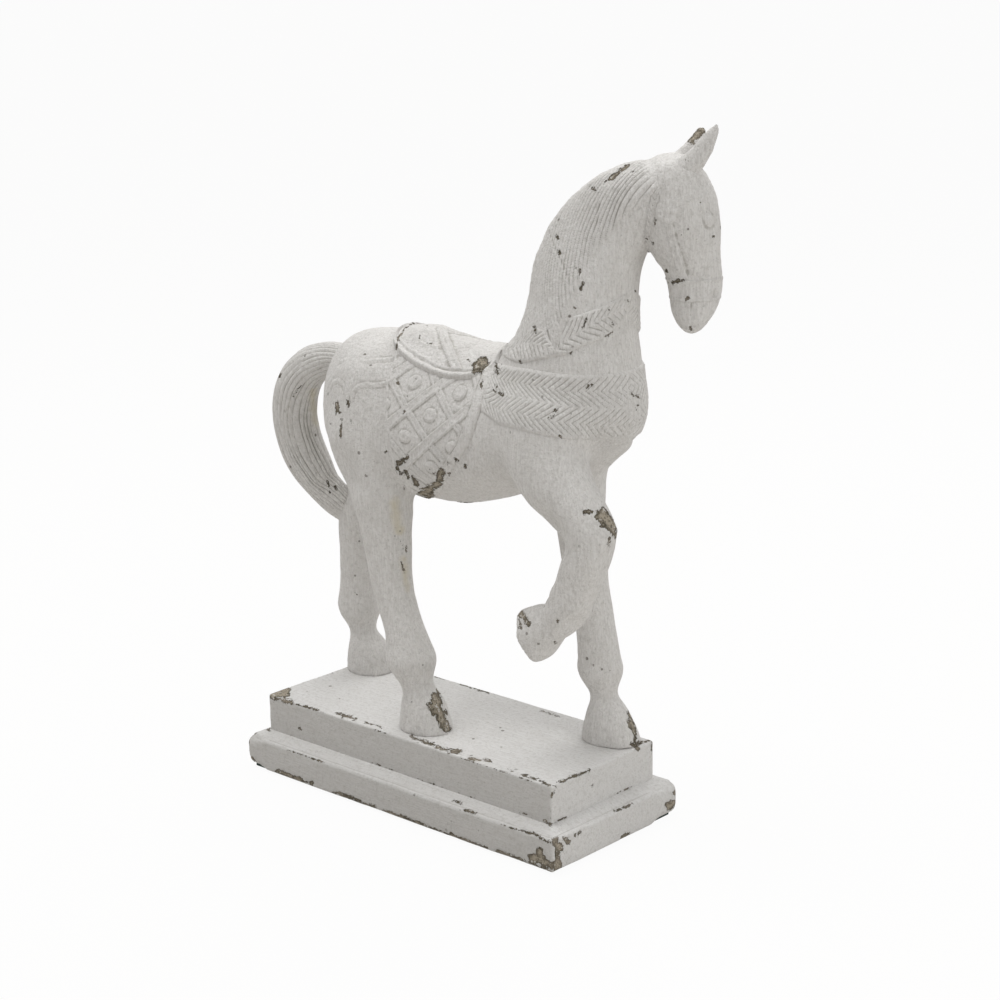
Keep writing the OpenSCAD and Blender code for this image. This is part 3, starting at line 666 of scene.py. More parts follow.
def to_saddle_line(pixels):
    """Distance of each place of the saddle from a line under pixels and from its mirror image."""
    path = path_on_skin(pixels)
    both = [distance_to_path(saddle_base.reshape(-1, 3), path * side) for side in both_sides]
    return np.minimum(*both).reshape(saddle_base.shape[:2])


to_strap, to_seam = to_saddle_line(saddle_strap_pixels), to_saddle_line(saddle_seam_pixels)
to_scroll = np.minimum(to_saddle_line(saddle_scroll_pixels), to_saddle_line(saddle_curl_pixels))
rim_length = from_rim(saddle_base)
pommel = smooth_step(*pommel_band, saddle_base[..., 0])
seat = bump(saddle_base[..., 0] - seat_place, seat_reach) * smooth_step(*seat_fall, np.abs(share))
lines = moulding(to_seam, seam_beads) + moulding(to_scroll, scroll_beads)
saddle_relief = edged_band(to_strap, *saddle_strap_band) + lines * smooth_step(2.5, 3.5, to_strap)
saddle_relief = saddle_relief * smooth_step(4.5, 6.0, rim_length)
saddle_relief += (1 - 0.85 * pommel) * moulding(rim_length, roll_beads)
saddle_relief += saddle_lump_rise * rough(saddle_base, saddle_lump, seed=21) + seat_height * seat
saddle_top = saddle_thickness - saddle_edge_drop * bump(rim_length, 0.8)
saddle_top = (1 - 0.5 * pommel) * saddle_top + saddle_relief
saddle = new_piece("saddle_cast", *layer(saddle_base, saddle_top))
print("triangles of the saddle:", 2 * len(saddle.data.polygons))

# %% [markdown]
# The breast collar is a broad woven band from one side of the saddle cloth round the chest to the other.
# Its columns run along the band and its rows up it. The weave is two rows of chevrons: the phase of the
# ridges is the length along the band plus a slant times the distance from the middle of each row, and both
# halves are counted from the middle of the chest, where they meet in a small round boss.

# %% The shape of the breast collar
collar_high_pixels = [(497, 363), (503.7, 365), (518, 367.5), (532, 369.5), (546, 372), (561, 374),
                      (575, 375), (590, 375), (607, 373.5), (624, 371)]
collar_low_pixels = [(481, 411), (498, 423.5), (508, 426.5), (518.6, 429), (533, 433), (548.5, 436),
                     (563, 438.5), (578, 439.6), (595, 439.5), (613, 438)]
collar_rows, collar_columns = 64, 429


def round_chest(pixels):
    """A smooth line on the skin along pixels of the right side and on along their mirror image."""
    right_half = path_on_skin(pixels)
    return on_curve(np.concatenate([right_half, right_half[::-1] * mirror]), collar_columns)


share = np.linspace(0, 1, collar_rows)[:, None, None]
collar_low, collar_high = round_chest(collar_low_pixels), round_chest(collar_high_pixels)
collar_base = pressed(collar_low + share * (collar_high - collar_low))
print("length of the breast collar:", lengths(collar_base, 1)[:, -1].max().round(), "mm")

# %% The weave of the breast collar
collar_height = 36.0
row_height = collar_height / 2
weave_pitch, weave_slant, weave_height = 4.2, 1.25, 0.75
boss_reach, boss_slope, boss_rise, boss_dome = 6.0, 0.8, 0.3, 0.4
row_beads, edge_beads = [(0.6, 0, 0.7)], [(0.45, 0.8, 0.8)]
collar_thickness, collar_edge_drop = 0.7, 0.6
chest_band, chest_thinning, chest_flattening = (40, 8), 0.4, 0.15

along = lengths(collar_base, 1)
from_front = np.abs(along - along[:, collar_columns // 2][:, None])
rise = lengths(collar_base, 0)
rise = rise / rise[-1:] * collar_height
in_row = rise - np.where(rise < row_height, row_height / 2, 1.5 * row_height)
weave_phase = (from_front - weave_slant * (row_height / 2 - np.abs(in_row))) / weave_pitch
weave_phase = weave_phase + 0.12 * noise(collar_base, 7.0, seed=31)
rim_length = from_rim(collar_base)
from_boss = np.hypot(rise - row_height, from_front)
in_boss = smooth_step(boss_reach + boss_slope, boss_reach - boss_slope, from_boss)
weave = weave_height * ridges(weave_phase) * (1 - in_boss) * smooth_step(0.8, 1.8, rim_length)
weave = weave + boss_rise * in_boss + boss_dome * bump(from_boss, boss_reach)
row_cord = moulding(rise - row_height, row_beads) * (1 - in_boss)
collar_relief = np.maximum(np.maximum(weave, row_cord), moulding(rim_length, edge_beads))
collar_relief += 0.12 * rough(collar_base, 4.0, seed=33)
at_chest = smooth_step(*chest_band, from_front)
collar_top = collar_thickness - chest_thinning * at_chest + (1 - chest_flattening * at_chest) * collar_relief
collar_top = collar_top - collar_edge_drop * bump(rim_length, 0.7)
breast_collar = new_piece("breast_collar_cast", *layer(collar_base, collar_top))
print("triangles of the breast collar:", 2 * len(breast_collar.data.polygons))

# %% [markdown]
# The neck is a stack of rings from the chest to the poll, with the crest at 90 degrees on each ring, the
# right side at 180 and the throat at 270. The neck collar and the mane are grids over a station up the neck
# and an angle round it, which keeps their edges simple lists of angles and stations.

# %% Places on the neck
neck_sections = [[126, 197, 46, 233, 0, 0, 34, 0.15], [135.5, 215, 56, 241, 0, 0, 35, 0.18],
                 [135, 240, 66, 257, 0, 0, 31.5, 0.22], [134, 262, 71, 280, 1.5, 3, 27.5, 0.25],
                 [134.5, 280, 77, 300, 4, 9, 24.5, 0.28], [136, 293, 85.5, 316.5, 7.5, 16, 22.5, 0.28],
                 [140, 303, 97, 330.5, 11, 23, 21, 0.25], [145, 311, 111, 341, 14, 29, 20, 0.2],
                 [150, 318, 126, 348, 17, 34, 18.5, 0.15], [156, 324, 140, 351, 19.5, 38, 16, 0.1]]
neck_parts = 40
neck_curve = on_curve(neck_sections, neck_parts * (len(neck_sections) - 1) + 1)


def on_neck(station, angle):
    """Places on egg-shaped rings of the neck: halfway from throat to crest, out by an angle in degrees."""
    station, angle = np.broadcast_arrays(station, np.radians(angle))
    places = np.arange(len(neck_curve)) / neck_parts
    throat_x, throat_z, crest_x, crest_z, shift, turn, half_width, narrowing = (
        np.interp(station, places, column) for column in neck_curve.T)
    turn = np.radians(turn)
    rear = (crest_x - throat_x) / 2 * np.sin(angle)
    across = half_width * np.cos(angle) * (1 - narrowing * np.sin(angle))
    return np.stack([(throat_x + crest_x) / 2 + rear * np.cos(turn) - across * np.sin(turn),
                     shift + rear * np.sin(turn) + across * np.cos(turn),
                     ground + (throat_z + crest_z) / 2 + (crest_z - throat_z) / 2 * np.sin(angle)], -1)


print("stations up the neck:", len(neck_sections))

# %% [markdown]
# The neck collar is a broad band of feathers that falls from the mane round the throat. Each feather could be
# a piece of its own, but they are one casting, so the band is one grid. A rib runs along it, and the
# feathers leave it upward and downward: their phase is the length along the rib less a slant times the
# distance from it.

# %% The shape of the neck collar
throat, collar_start = 270, 116
neck_collar_low = np.array([[116, 0.9], [130, 1.0], [150, 1.25], [161, 1.4], [184, 1.8], [202, 2.05],
                            [211, 2.15], [223, 2.4], [239, 2.6], [255, 2.85], [264, 3.1], [270, 3.2]])
neck_collar_high = np.array([[116, 1.2], [124, 1.4], [138, 1.8], [146, 2.05], [156, 2.28], [167, 2.42],
                             [181, 2.5], [191, 2.33], [199, 2.2], [203, 2.55], [208, 3.05], [223, 3.3],
                             [238, 3.55], [254, 3.8], [264, 4.0], [270, 4.05]])
neck_collar_rows, neck_collar_columns = 46, 470
neck_collar_angle = np.linspace(collar_start, 2 * throat - collar_start, neck_collar_columns)
right_angle = throat - np.abs(throat - neck_collar_angle)
low = np.interp(right_angle, *neck_collar_low.T)
high = np.interp(right_angle, *neck_collar_high.T)
share = np.linspace(0, 1, neck_collar_rows)[:, None]
neck_collar_base = pressed(on_neck(low + share * (high - low), neck_collar_angle[None]))
print("length of the neck collar:", lengths(neck_collar_base, 1)[:, -1].max().round(), "mm")

# %% The feathers of the neck collar
rib_pixels = [(514, 350), (524, 344.5), (535, 343.5), (546, 346), (557, 351), (561, 347), (567, 340.5),
              (581, 331.5), (596, 320.5), (608, 315.5), (623, 308)]
feather_pitch, upper_slant, lower_slant, feather_height = 4.0, 1.5, 0.8, 0.8
rib_beads, hem_beads = [(0.6, 0, 0.7)], [(0.5, 0.9, 0.9)]
throat_band, throat_thinning, throat_flattening, hem_drop = (35, 8), 0.45, 0.4, 0.5


def along_path(points, path):
    """How far along a bent line each point lies, and how high above it, at the nearest straight stretch."""
    nearest = np.full(len(points), np.inf)
    along, above = np.zeros((2, len(points)))
    start_length = 0.0
    for start, end in zip(path[:-1], path[1:]):
        way = end - start
        share = np.clip((points - start) @ way / (way @ way), 0, 1)
        apart = points - start - share[:, None] * way
        distance = np.linalg.norm(apart, axis=1)
        along = np.where(distance < nearest, start_length + share * np.linalg.norm(way), along)
        above = np.where(distance < nearest, apart[:, 2], above)
        nearest = np.minimum(nearest, distance)
        start_length += np.linalg.norm(way)
    return along, above


rib_path = path_on_skin(rib_pixels)
rib_path = np.concatenate([rib_path, [3 * rib_path[-1] - 2 * rib_path[-2]]])
collar_places = neck_collar_base.reshape(-1, 3)
along, above = along_path(collar_places, rib_path)
from_rib = distance_to_path(collar_places, rib_path)
feather_phase = (along - np.where(above > 0, upper_slant, lower_slant) * from_rib) / feather_pitch
from_rib, feather_phase = (field.reshape(neck_collar_base.shape[:2]) for field in (from_rib, feather_phase))
far_side = neck_collar_angle > throat
feather_phase[:, far_side] = feather_phase[:, ::-1][:, far_side]
from_rib[:, far_side] = from_rib[:, ::-1][:, far_side]
feather_phase = feather_phase + 0.12 * noise(neck_collar_base, 8.0, seed=41)
rim_length = from_rim(neck_collar_base)
feather = feather_height * ridges(feather_phase) * smooth_step(0.6, 1.6, rim_length)
neck_collar_relief = np.maximum(feather, moulding(from_rib, rib_beads))
neck_collar_relief = np.maximum(neck_collar_relief, moulding(rim_length, hem_beads))
neck_collar_relief += 0.12 * rough(neck_collar_base, 4.0, seed=43)
at_throat = smooth_step(*throat_band, throat - right_angle)[None]
neck_collar_top = collar_thickness - throat_thinning * at_throat
neck_collar_top = neck_collar_top + (1 - throat_flattening * at_throat) * neck_collar_relief
neck_collar_top = neck_collar_top - hem_drop * bump(rim_length, 0.7)
neck_collar = new_piece("neck_collar_cast", *layer(neck_collar_base, neck_collar_top))
print("triangles of the neck collar:", 2 * len(neck_collar.data.polygons))

# %% [markdown]
# The mane is cast with the neck and falls to both sides of the crest in fine strands. Modelling each lock
# as a tube would look stiff, so the whole mane is one sheet over the crest with ridges. They are combed in
# arcs about a point in front of the neck: their phase is the distance from it, plus a little noise. The
# ridges are broad and bold near the poll and fine lower down, and a few deeper grooves part the locks.

# %% The shape of the mane
crest, mane_top_station, mane_rows, mane_columns = 90, 8.9, 244, 202
mane_front = np.array([[2.05, 200], [2.7, 204], [3.3, 206], [3.7, 206], [4.6, 202], [5.25, 200], [5.9, 198],
                       [6.95, 193], [7.75, 192], [8.3, 190], [8.75, 180]])
mane_foot = np.array([[0, 1.45], [40, 1.6], [70, 1.85], [90, 2.0], [105, 2.1], [110, 2.1]])
mane_front_start, mane_front_reach = 2.1, 6.6
share = np.linspace(-1, 1, mane_columns)[None]
up_share = np.linspace(0, 1, mane_rows)[:, None]
fall = np.interp(mane_front_start + mane_front_reach * up_share, *mane_front.T) - crest
mane_angle = crest + fall * share
mane_station = np.interp(np.abs(mane_angle - crest), *mane_foot.T)
mane_station = mane_station + up_share * (mane_top_station - mane_station)
mane_base = pressed(on_neck(mane_station, mane_angle))
print("length of the mane down the crest:", lengths(mane_base, 0)[-1].max().round(), "mm")

# %% The strands of the mane
comb_pixel, comb_reach, comb_stretch = (570, 250), 129.0, 1.3
fine_pitch, bold_pitch, bold_reach, lock_pitch = 2.3, 3.6, 108.0, 12.0
lock_pixels = [[(551, 232), (557, 250), (566, 270), (574, 291)], [(548, 331), (552, 342), (556, 350)],
               [(580, 290), (574, 308), (566, 328), (557, 350)],
               [(600, 205), (597, 225), (591, 250), (583, 280)]]
lock_beads = [(0.1, 1.6, 1.0), (-0.4, 0, 0.8)]
strand_rise, bold_rise, uneven_rise, lock_rise = 0.7, 0.35, 0.35, 0.4

comb_place = under_pixel(skin_tree, *comb_pixel) + [comb_reach, 0, 0]
stretched = mane_base * [1, 1, 0.25]
sway = 1.4 * noise(stretched, 14.0, seed=51) + 0.4 * noise(mane_base * [1, 1, 0.3], 5.0, seed=52)
from_comb = mane_base - comb_place
combed = np.hypot(from_comb[..., 0], comb_stretch * from_comb[..., 2]) + sway
bold = smooth_step(bold_reach + 14, bold_reach - 4, combed)
past_bold = combed - bold_reach
strand_phase = np.minimum(past_bold, 0) / bold_pitch + np.maximum(past_bold, 0) / fine_pitch
strand_height = strand_rise + bold_rise * bold + uneven_rise * noise(stretched, 7.0, seed=53)
mane_relief = strand_height * ridges(strand_phase) + lock_rise * ridges((combed + 1.5 * sway) / lock_pitch)
for pixels, side in product(lock_pixels, both_sides):
    apart = distance_to_path(mane_base.reshape(-1, 3), path_on_skin(pixels) * side)
    mane_relief += moulding(apart, lock_beads).reshape(mane_relief.shape)
mane_top = smooth_step(-0.2, 5.0, from_rim(mane_base)) * (0.1 + mane_relief)
mane = new_piece("mane", *layer(mane_base, mane_top, -1.2))
print("triangles of the mane:", 2 * len(mane.data.polygons))

# %% [markdown]
# The bridle is cast with the head: a cheek strap and a round rosette on each side, a broad noseband, a
# browband and a plaited throat strap. The head is a stack of rings too, so each strap is a ribbon along a
# list of heights and angles on those rings, with 90 degrees at the face, 180 on the right and 270 under
# the jaw.

# %% Places on the head
head_sections = np.array([[353.5, -4, 7, 7], [350, -11, 15, 13], [343, -14, 22, 16.5], [334, -15, 27, 18.5],
                          [323, -14, 29.5, 19.3], [311, -12, 30.3, 18.5], [300, -8, 30.3, 16],
                          [290, -0.5, 31, 13.3], [280, 2, 31.3, 12.3], [271, 3, 29.5, 12.6],
                          [263.5, 5.5, 25.5, 11.8], [258.5, 9, 21, 9], [256, 12.5, 17, 4]])[::-1]
head_middle = from_head(np.array([12.0, 0.0, 0.0]))
strap_row = 0.6


def on_head(height, angle):
    """Places on oval rings of the head at heights above the plinth, out by an angle in degrees."""
    height, angle = np.broadcast_arrays(height, np.radians(angle))
    columns = head_sections[:, 1:].T
    jaw, face, half_width = (np.interp(height, head_sections[:, 0], column) for column in columns)
    forward = (jaw + face) / 2 + (face - jaw) / 2 * np.sin(angle)
    return from_head(np.stack([forward, half_width * np.cos(angle), height], -1))


def off_middle(places):
    """Level ways from the middle of the head to places on it."""
    return places - (head_middle * [1, 1, 0] + places * [0, 0, 1])


def ribbon(path, width, columns):
    """A grid along a path of places: rows across its width, columns along it, pressed onto the skin."""
    line = on_curve(path, columns)
    side = unit(np.cross(off_middle(line), np.gradient(line, axis=0)))
    rows = max(9, int(width / strap_row))
    share = np.linspace(-0.5, 0.5, rows)[:, None, None]
    return pressed(line[None] + share * width * side[None], even=1)


def strap(base, rise, edge):
    """A layer with a raised line along both edges."""
    across = lengths(base, 0)
    to_edge = np.minimum(across, across[-1:] - across)
    return layer(base, rise * smooth_step(-0.6, 0.7, to_edge) + edge * bump(to_edge - 0.9, 0.6))


print("rings of the head:", len(head_sections))

# %% The straps of the bridle
side_path, side_strap = ([326, 316, 306, 296, 287], [198, 197, 196, 198, 200]), (4.6, 70, 0.14, 0.16)
crown_path, crown_strap = ([350, 344, 337, 330], [196, 200, 201, 200]), (4.6, 40, 0.12, 0.2)
brow_path, brow_strap = ([328, 332, 335, 336.5], [192, 165, 130, 90]), (4.2, 60, 0.04, 0.1)
throat_path, plait_width, plait_columns = ([334, 326, 317, 309, 303], [212, 222, 235, 250, 270]), 5.0, 90
plait_pitch, plait_slant, plait_rise, plait_height = 3.2, 2.6, 0.1, 0.5
nose_height, nose_strap = 281.0, (12.5, 180, 0.2, 0.38)


def beside_face(path, flip):
    """Places along heights and angles of the right side, or with a flip of -1 of the left side."""
    height, angle = np.asarray(path, float)
    return on_head(height, 90 + flip * (angle - 90))


def edged_strap(path, width, columns, rise, edge):
    """A strap of a width along a path, with its rise and the height of its edges."""
    return strap(ribbon(path, width, columns), rise, edge)


def plaited_strap(flip):
    """A strap of slanting strands that meet in its middle: ridges over the length plus a slant."""
    base = ribbon(beside_face(throat_path, flip), plait_width, plait_columns)
    across = lengths(base, 0)
    twist = lengths(base, 1) / plait_pitch + flip * np.abs(across - across[-1:] / 2) / plait_slant
    return layer(base, plait_rise + plait_height * ridges(twist))


# %% The rosettes of the bridle
rosette_place, rosette_half, rosette_count, petal_count = ([325.0], [198.0]), 8.0, 41, 8


def rosette(flip):
    """A round flower: a dome with petals by a cosine of the angle, a button in its middle, sunk outside."""
    centre = beside_face(rosette_place, flip)[0]
    spread = np.linspace(-rosette_half, rosette_half, rosette_count)
    sideways = np.cross([0, 0, 1.0], unit(off_middle(centre)))
    patch = centre + spread[None, :, None] * sideways + spread[:, None, None] * np.array([0, 0, 1.0])
    radius = np.hypot(spread[:, None], spread[None])
    petals = 0.5 + 0.5 * np.cos(petal_count * np.arctan2(spread[:, None], spread[None]))
    dome = 0.65 * smooth_step(7.2, 5.6, radius) * (0.5 + 0.5 * petals * smooth_step(2.0, 4.0, radius))
    top = dome + 0.35 * bump(radius, 1.6) - 0.6 * smooth_step(6.6, 7.6, radius)
    return layer(pressed(patch, even=1), top)


straps = []
for flip in (1, -1):
    for path, strap_sizes in ((side_path, side_strap), (crown_path, crown_strap), (brow_path, brow_strap)):
        straps.append(edged_strap(beside_face(path, flip), *strap_sizes))
    straps.append(plaited_strap(flip))
    straps.append(rosette(flip))
straps.append(edged_strap(on_head(nose_height, np.linspace(0, 360, 48)), *nose_strap))
bridle = new_piece("bridle", *joined(straps))
print("triangles of the bridle:", 2 * len(bridle.data.polygons))

# %% [markdown]
# The ears are cast by themselves and pinned on. Each is a horn with a broad foot: an oval section carried
# along a bent spine, with a hollow pressed into the side that faces forward. The left one has a blunt tip.


# %% The ears
right_spine = np.array([[4.5, -7.0, 341.5, 16.0, 13.0], [9.0, -8.0, 345.8, 14.0, 12.0],
                        [13.2, -9.2, 349.0, 12.8, 10.8], [16.9, -10.2, 352.7, 11.8, 9.8],
                        [20.0, -11.2, 356.4, 10.8, 8.8], [22.2, -12.0, 360.4, 9.8, 7.6],
                        [24.2, -12.8, 364.1, 7.6, 6.0], [25.8, -13.3, 367.3, 5.2, 4.4],
                        [27.2, -13.8, 370.6, 0.9, 0.8]])
left_spine = np.array([[-1.0, 6.5, 341.0, 16.0, 13.0], [3.8, 7.8, 345.6, 13.0, 12.0],
                       [8.6, 9.0, 350.0, 10.5, 10.0], [12.6, 10.4, 354.4, 8.6, 8.4],
                       [15.9, 11.8, 358.9, 7.0, 7.2], [18.6, 13.0, 362.8, 6.0, 6.0],
                       [20.0, 13.7, 365.4, 4.6, 4.6], [20.6, 13.9, 366.4, 0.9, 0.9]])
ear_rows, ear_columns, hollow_depth, hollow_width = 80, 56, 0.2, 0.45


def carried(spine, sideways, frontal):
    """Rings along a spine: places go left and ahead from it by offsets, both square to the spine."""
    way = unit(np.gradient(spine, axis=0))
    left = unit(np.array([0.0, 1.0, 0.0]) - way * way[:, 1:2])
    ahead = np.cross(left, way)
    return spine[:, None] + sideways[..., None] * left[:, None] + frontal[..., None] * ahead[:, None]


def ear(spine):
    """Oval rings along a spine of forward, left, height, depth and thickness, with a hollow in front."""
    line = on_curve(spine, ear_rows)
    depth, thick = line[:, 3:4], line[:, 4:5]
    share = np.linspace(0, 1, ear_rows)[:, None]
    turn = np.linspace(0, 2 * np.pi, ear_columns, endpoint=False)[None]
    hollow = hollow_depth * bump(turn - np.pi / 2, hollow_width)
    hollow = hollow * smooth_step(0.3, 0.55, share) * smooth_step(0.95, 0.75, share)
    places = carried(line[:, :3], thick / 2 * np.cos(turn), depth / 2 * (np.sin(turn) - hollow))
    places = from_head(places)
    return places + 0.25 * rough(places, 4.0, seed=57)[..., None]


def turned_outward(points, faces):
    """The faces, turned over where the volume that they enclose comes out negative."""
    corner = [points[faces[:, k]] for k in range(3)]
    volume = (corner[0] * np.cross(corner[1], corner[2])).sum()
    return faces if volume > 0 else faces[:, ::-1]


def closed_tube(name, places, ends):
    """A piece from rings of places: triangles between them, and a fan round the middle of each end."""
    rows, columns = places.shape[:2]
    first = np.arange(columns)
    last = first + (rows - 1) * columns
    quads = grid_faces(rows, columns, ring=True)
    foot_fan = np.stack([first, np.roll(first, -1), np.full_like(first, rows * columns)], 1)
    tip_fan = np.stack([np.roll(last, -1), last, np.full_like(last, rows * columns + 1)], 1)
    points = np.concatenate([places.reshape(-1, 3), ends])
    triangles = np.concatenate([quads[:, [0, 1, 2]], quads[:, [0, 2, 3]], foot_fan, tip_fan])
    return new_piece(name, points, turned_outward(points, triangles))


right_ear_places, left_ear_places = ear(right_spine), ear(left_spine)
right_ear = closed_tube("right_ear_cast", right_ear_places, right_ear_places[[0, -1]].mean(1))
left_ear = closed_tube("left_ear_cast", left_ear_places, left_ear_places[[0, -1]].mean(1))
print("triangles of an ear:", len(left_ear.data.polygons))

# %% [markdown]
# The tail leaves the croup in an arch and comes back to the left hind leg, combed into long strands.
# It is an oval section carried along the arch. Ridges run along it, and their phase drifts with noise
# so that strands swell, thin out and join, as they do when they are modelled by hand.

# %% The tail
tail_path = np.array([[-76, 0, 214.5, 0.56], [-95, 0, 214.8, 0.7], [-112, 0, 210, 0.82],
                      [-124, 1.1, 203, 0.9], [-132.5, 2.2, 194, 0.97], [-138, 3.6, 183.5, 1],
                      [-141, 5, 171.5, 1], [-141, 7.8, 157.5, 1], [-138, 10, 145.5, 1.0],
                      [-133.2, 12.5, 134.8, 0.94], [-127.6, 16, 124.2, 0.86],
                      [-117.8, 20, 114.2, 0.86], [-110.5, 23.5, 106.5, 0.7]])
tail_depth, tail_side, tail_rows, tail_columns = 28.5, 28.0, 260, 230
tail_strands, tail_locks, lock_twist = 26, 9, 0.006
drift_radius, drift_stretch = 15, 0.16
tail_thinning, thinning_band = 0.5, (0.72, 1.0)

tail_line = on_curve(tail_path, tail_rows)
tail_middle, tail_size = tail_line[:, :3] + [0, 0, ground], tail_line[:, 3:]
turn = np.linspace(0, 2 * np.pi, tail_columns, endpoint=False)
run = lengths(tail_middle[None], 1)[0][:, None]
around = np.stack(np.broadcast_arrays(np.cos(turn) * drift_radius, np.sin(turn) * drift_radius,
                                      run * drift_stretch), -1)
drift = 0.9 * noise(around, 9.0, seed=61) + 0.35 * noise(around, 4.0, seed=62)
tail_phase = turn[None] / (2 * np.pi) * tail_strands + drift
tail_lock_phase = turn[None] / (2 * np.pi) * tail_locks + 0.8 * drift + lock_twist * run
tail_height = 0.9 + 0.4 * noise(around, 7.0, seed=63)
tail_relief = tail_height * ridges(tail_phase) + 0.7 * ridges(tail_lock_phase) - 1.3
taper = 1 - tail_thinning * smooth_step(*thinning_band, np.linspace(0, 1, tail_rows))[:, None]
half_side = taper * tail_size * tail_side / 2 + tail_relief * np.sqrt(taper * tail_size)
half_depth = tail_size * tail_depth / 2 + tail_relief * np.sqrt(tail_size)
tail_places = carried(tail_middle, half_side * np.cos(turn), -half_depth * np.sin(turn))
tail = closed_tube("tail_cast", tail_places, tail_middle[[0, -1]])
print("triangles of the tail:", len(tail.data.polygons))

# %% [markdown]
# Both steps of the plinth are plain slabs whose edges have been knocked and rubbed round. A Bevel would
# round them evenly, so each slab is instead a profile carried round a rectangle with rounded corners: up
# the side, over the worn edge and in over the top. The noise along the edge then bites into it unevenly.


# %% A slab with rounded edges
side_ways = np.array([[0, -1], [1, 0], [0, 1], [-1, 0]])
corner_steps, slab_step = 9, 1.3


def slab(half_size, corners, profile):
    """A profile of (inset, height) rows carried round a rectangle, from its right side to its front and on.
    Each corner has a radius, from the front right one on; rows near the middle line shrink onto it."""
    quarter = np.linspace(0, 90, corner_steps)[1:-1]
    signs, angles, radii = [], [], []
    for k, (out, along) in enumerate(zip(side_ways, np.roll(side_ways, -1, axis=0))):
        straight = np.linspace(-1, 1, int(2 * half_size[k % 2] / slab_step))
        face = 90 * (k - 1)
        signs += [out + straight[:, None] * along, np.tile(out + along, (len(quarter), 1))]
        angles += [np.full_like(straight, face), quarter + face]
        growth = corners[k] - corners[k - 1]
        radii += [corners[k - 1] + (straight + 1) / 2 * growth, np.full_like(quarter, corners[k])]
    signs, angles, round_off = (np.concatenate(parts) for parts in (signs, angles, radii))
    angles = np.radians(angles)
    inset, height = np.asarray(profile, float).T[..., None]
    radius = np.maximum(round_off - inset, 0)
    reach_x, reach_y = (np.maximum(half - inset - radius, 0) for half in half_size)
    x = reach_x * signs[:, 0] + radius * np.cos(angles)
    y = reach_y * signs[:, 1] + radius * np.sin(angles)
    return np.stack([x, y, np.broadcast_to(height, x.shape)], -1)


def fine(start, end, step):
    """Places from start to end, a step apart, without the last."""
    start, end = np.asarray(start, float), np.asarray(end, float)
    count = max(1, int(np.linalg.norm(end - start) / step))
    return start + np.linspace(0, 1, count, endpoint=False)[:, None] * (end - start)


def edge_round(middle, radius, from_angle, to_angle, count=6):
    """Places on an arc of the profile about a middle, from one angle to another in degrees."""
    angle = np.radians(np.linspace(from_angle, to_angle, count))
    return np.asarray(middle) + radius * np.stack([-np.cos(angle), np.sin(angle)], -1)


# %% Wear on the edges of a slab
rear_wear_band, corner_wear_band, least_wear = (26, 9), (34, 16), 0.01
side_dent, side_lump, side_skin = 0.5, 26.0, 3.0


def rubbed_round(points, high, level, radius, corner):
    """Edges at a level rubbed to a radius: where a place is nearer than that to both faces of an edge, its
    distances are drawn back onto a quarter circle. The side face turns the slab's corners with a radius."""
    past_corner = np.maximum(np.abs(points[:, :2]) - (high[:2] - corner), 0)
    away = np.linalg.norm(past_corner, axis=1)
    out = np.sign(points[:, :2]) * unit(past_corner)
    from_level = np.abs(level - points[:, 2])
    past = np.stack([np.maximum(radius - corner + away, 0), np.maximum(radius - from_level, 0)], -1)
    reach = np.linalg.norm(past, axis=1)
    kept = np.where((past.min(1) > 0) & (reach > radius), radius / np.maximum(reach, 1e-9), 1.0)
    inset = past * (1 - kept)[:, None]
    upward = np.where(level > high[2] / 2, 1, -1)
    return np.concatenate([points[:, :2] - inset[:, :1] * out, points[:, 2:] - upward * inset[:, 1:]], 1)


def plinth_piece(name, high, corners, profile, levels=(), worn_ends=0.0):
    """A slab with slightly uneven sides, closed along the middle line of its top and of its underside. Its
    edges at the given levels are rubbed round at the rear end and at the far corner in front."""
    grid = slab(high[:2], corners, profile)
    faces = grid_faces(*grid.shape[:2], ring=True)
    points = grid.reshape(-1, 3)
    rear_end = smooth_step(*rear_wear_band, points[:, 0] + high[0])
    far_corner = smooth_step(*corner_wear_band, away_from(points[:, :2], high[:2]))
    for level in levels:
        radius = np.maximum(worn_ends * np.maximum(rear_end, far_corner), least_wear)
        points = rubbed_round(points, high, level, radius, worn_ends)
    inward = side_dent * smooth_step(-0.3, 0.9, rough(points, side_lump, octaves=4, seed=73))
    points = points - inward[:, None] * np.sign(points) * (np.abs(points) > high - side_skin) * [1, 1, 0]
    piece = welded(new_piece(name, points, turned_outward(points, faces)))
    piece.data.shade_smooth()
    return piece


# %% The two steps of the plinth
lower_low, lower_high = (np.array(corner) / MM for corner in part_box("lower_plinth"))
upper_low, upper_high = (np.array(corner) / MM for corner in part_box("upper_plinth"))
ledge = lower_high[0] - upper_high[0]
ledge_foot = upper_low[2] - 3.5
upper_foot, ledge_inner, ledge_cover = upper_low[2] - 2, ledge + 1.5, upper_low[2] - 0.4
upper_edge, lower_edge, past_edge, rubbed_border = 1.2, 2.0, 0.8, 9
side_step, border_step, top_step, hidden_step = 1.1, 1.0, 4, 6
upper_corners, lower_corners, lower_worn_ends = (1.4, 2.4, 2.4, 2.4), (1.8, 6.5, 4.5, 6.5), 6.5
upper_profile = np.concatenate([
    fine((upper_high[1], upper_foot), (0, upper_foot), hidden_step),
    fine((0, upper_foot), (0, ground - upper_edge), side_step),
    edge_round((upper_edge, ground - upper_edge), upper_edge, 0, 90),
    fine((upper_edge + past_edge, ground), (rubbed_border, ground), border_step),
    fine((rubbed_border, ground), (upper_high[1], ground), top_step),
    [[upper_high[1], ground]]])
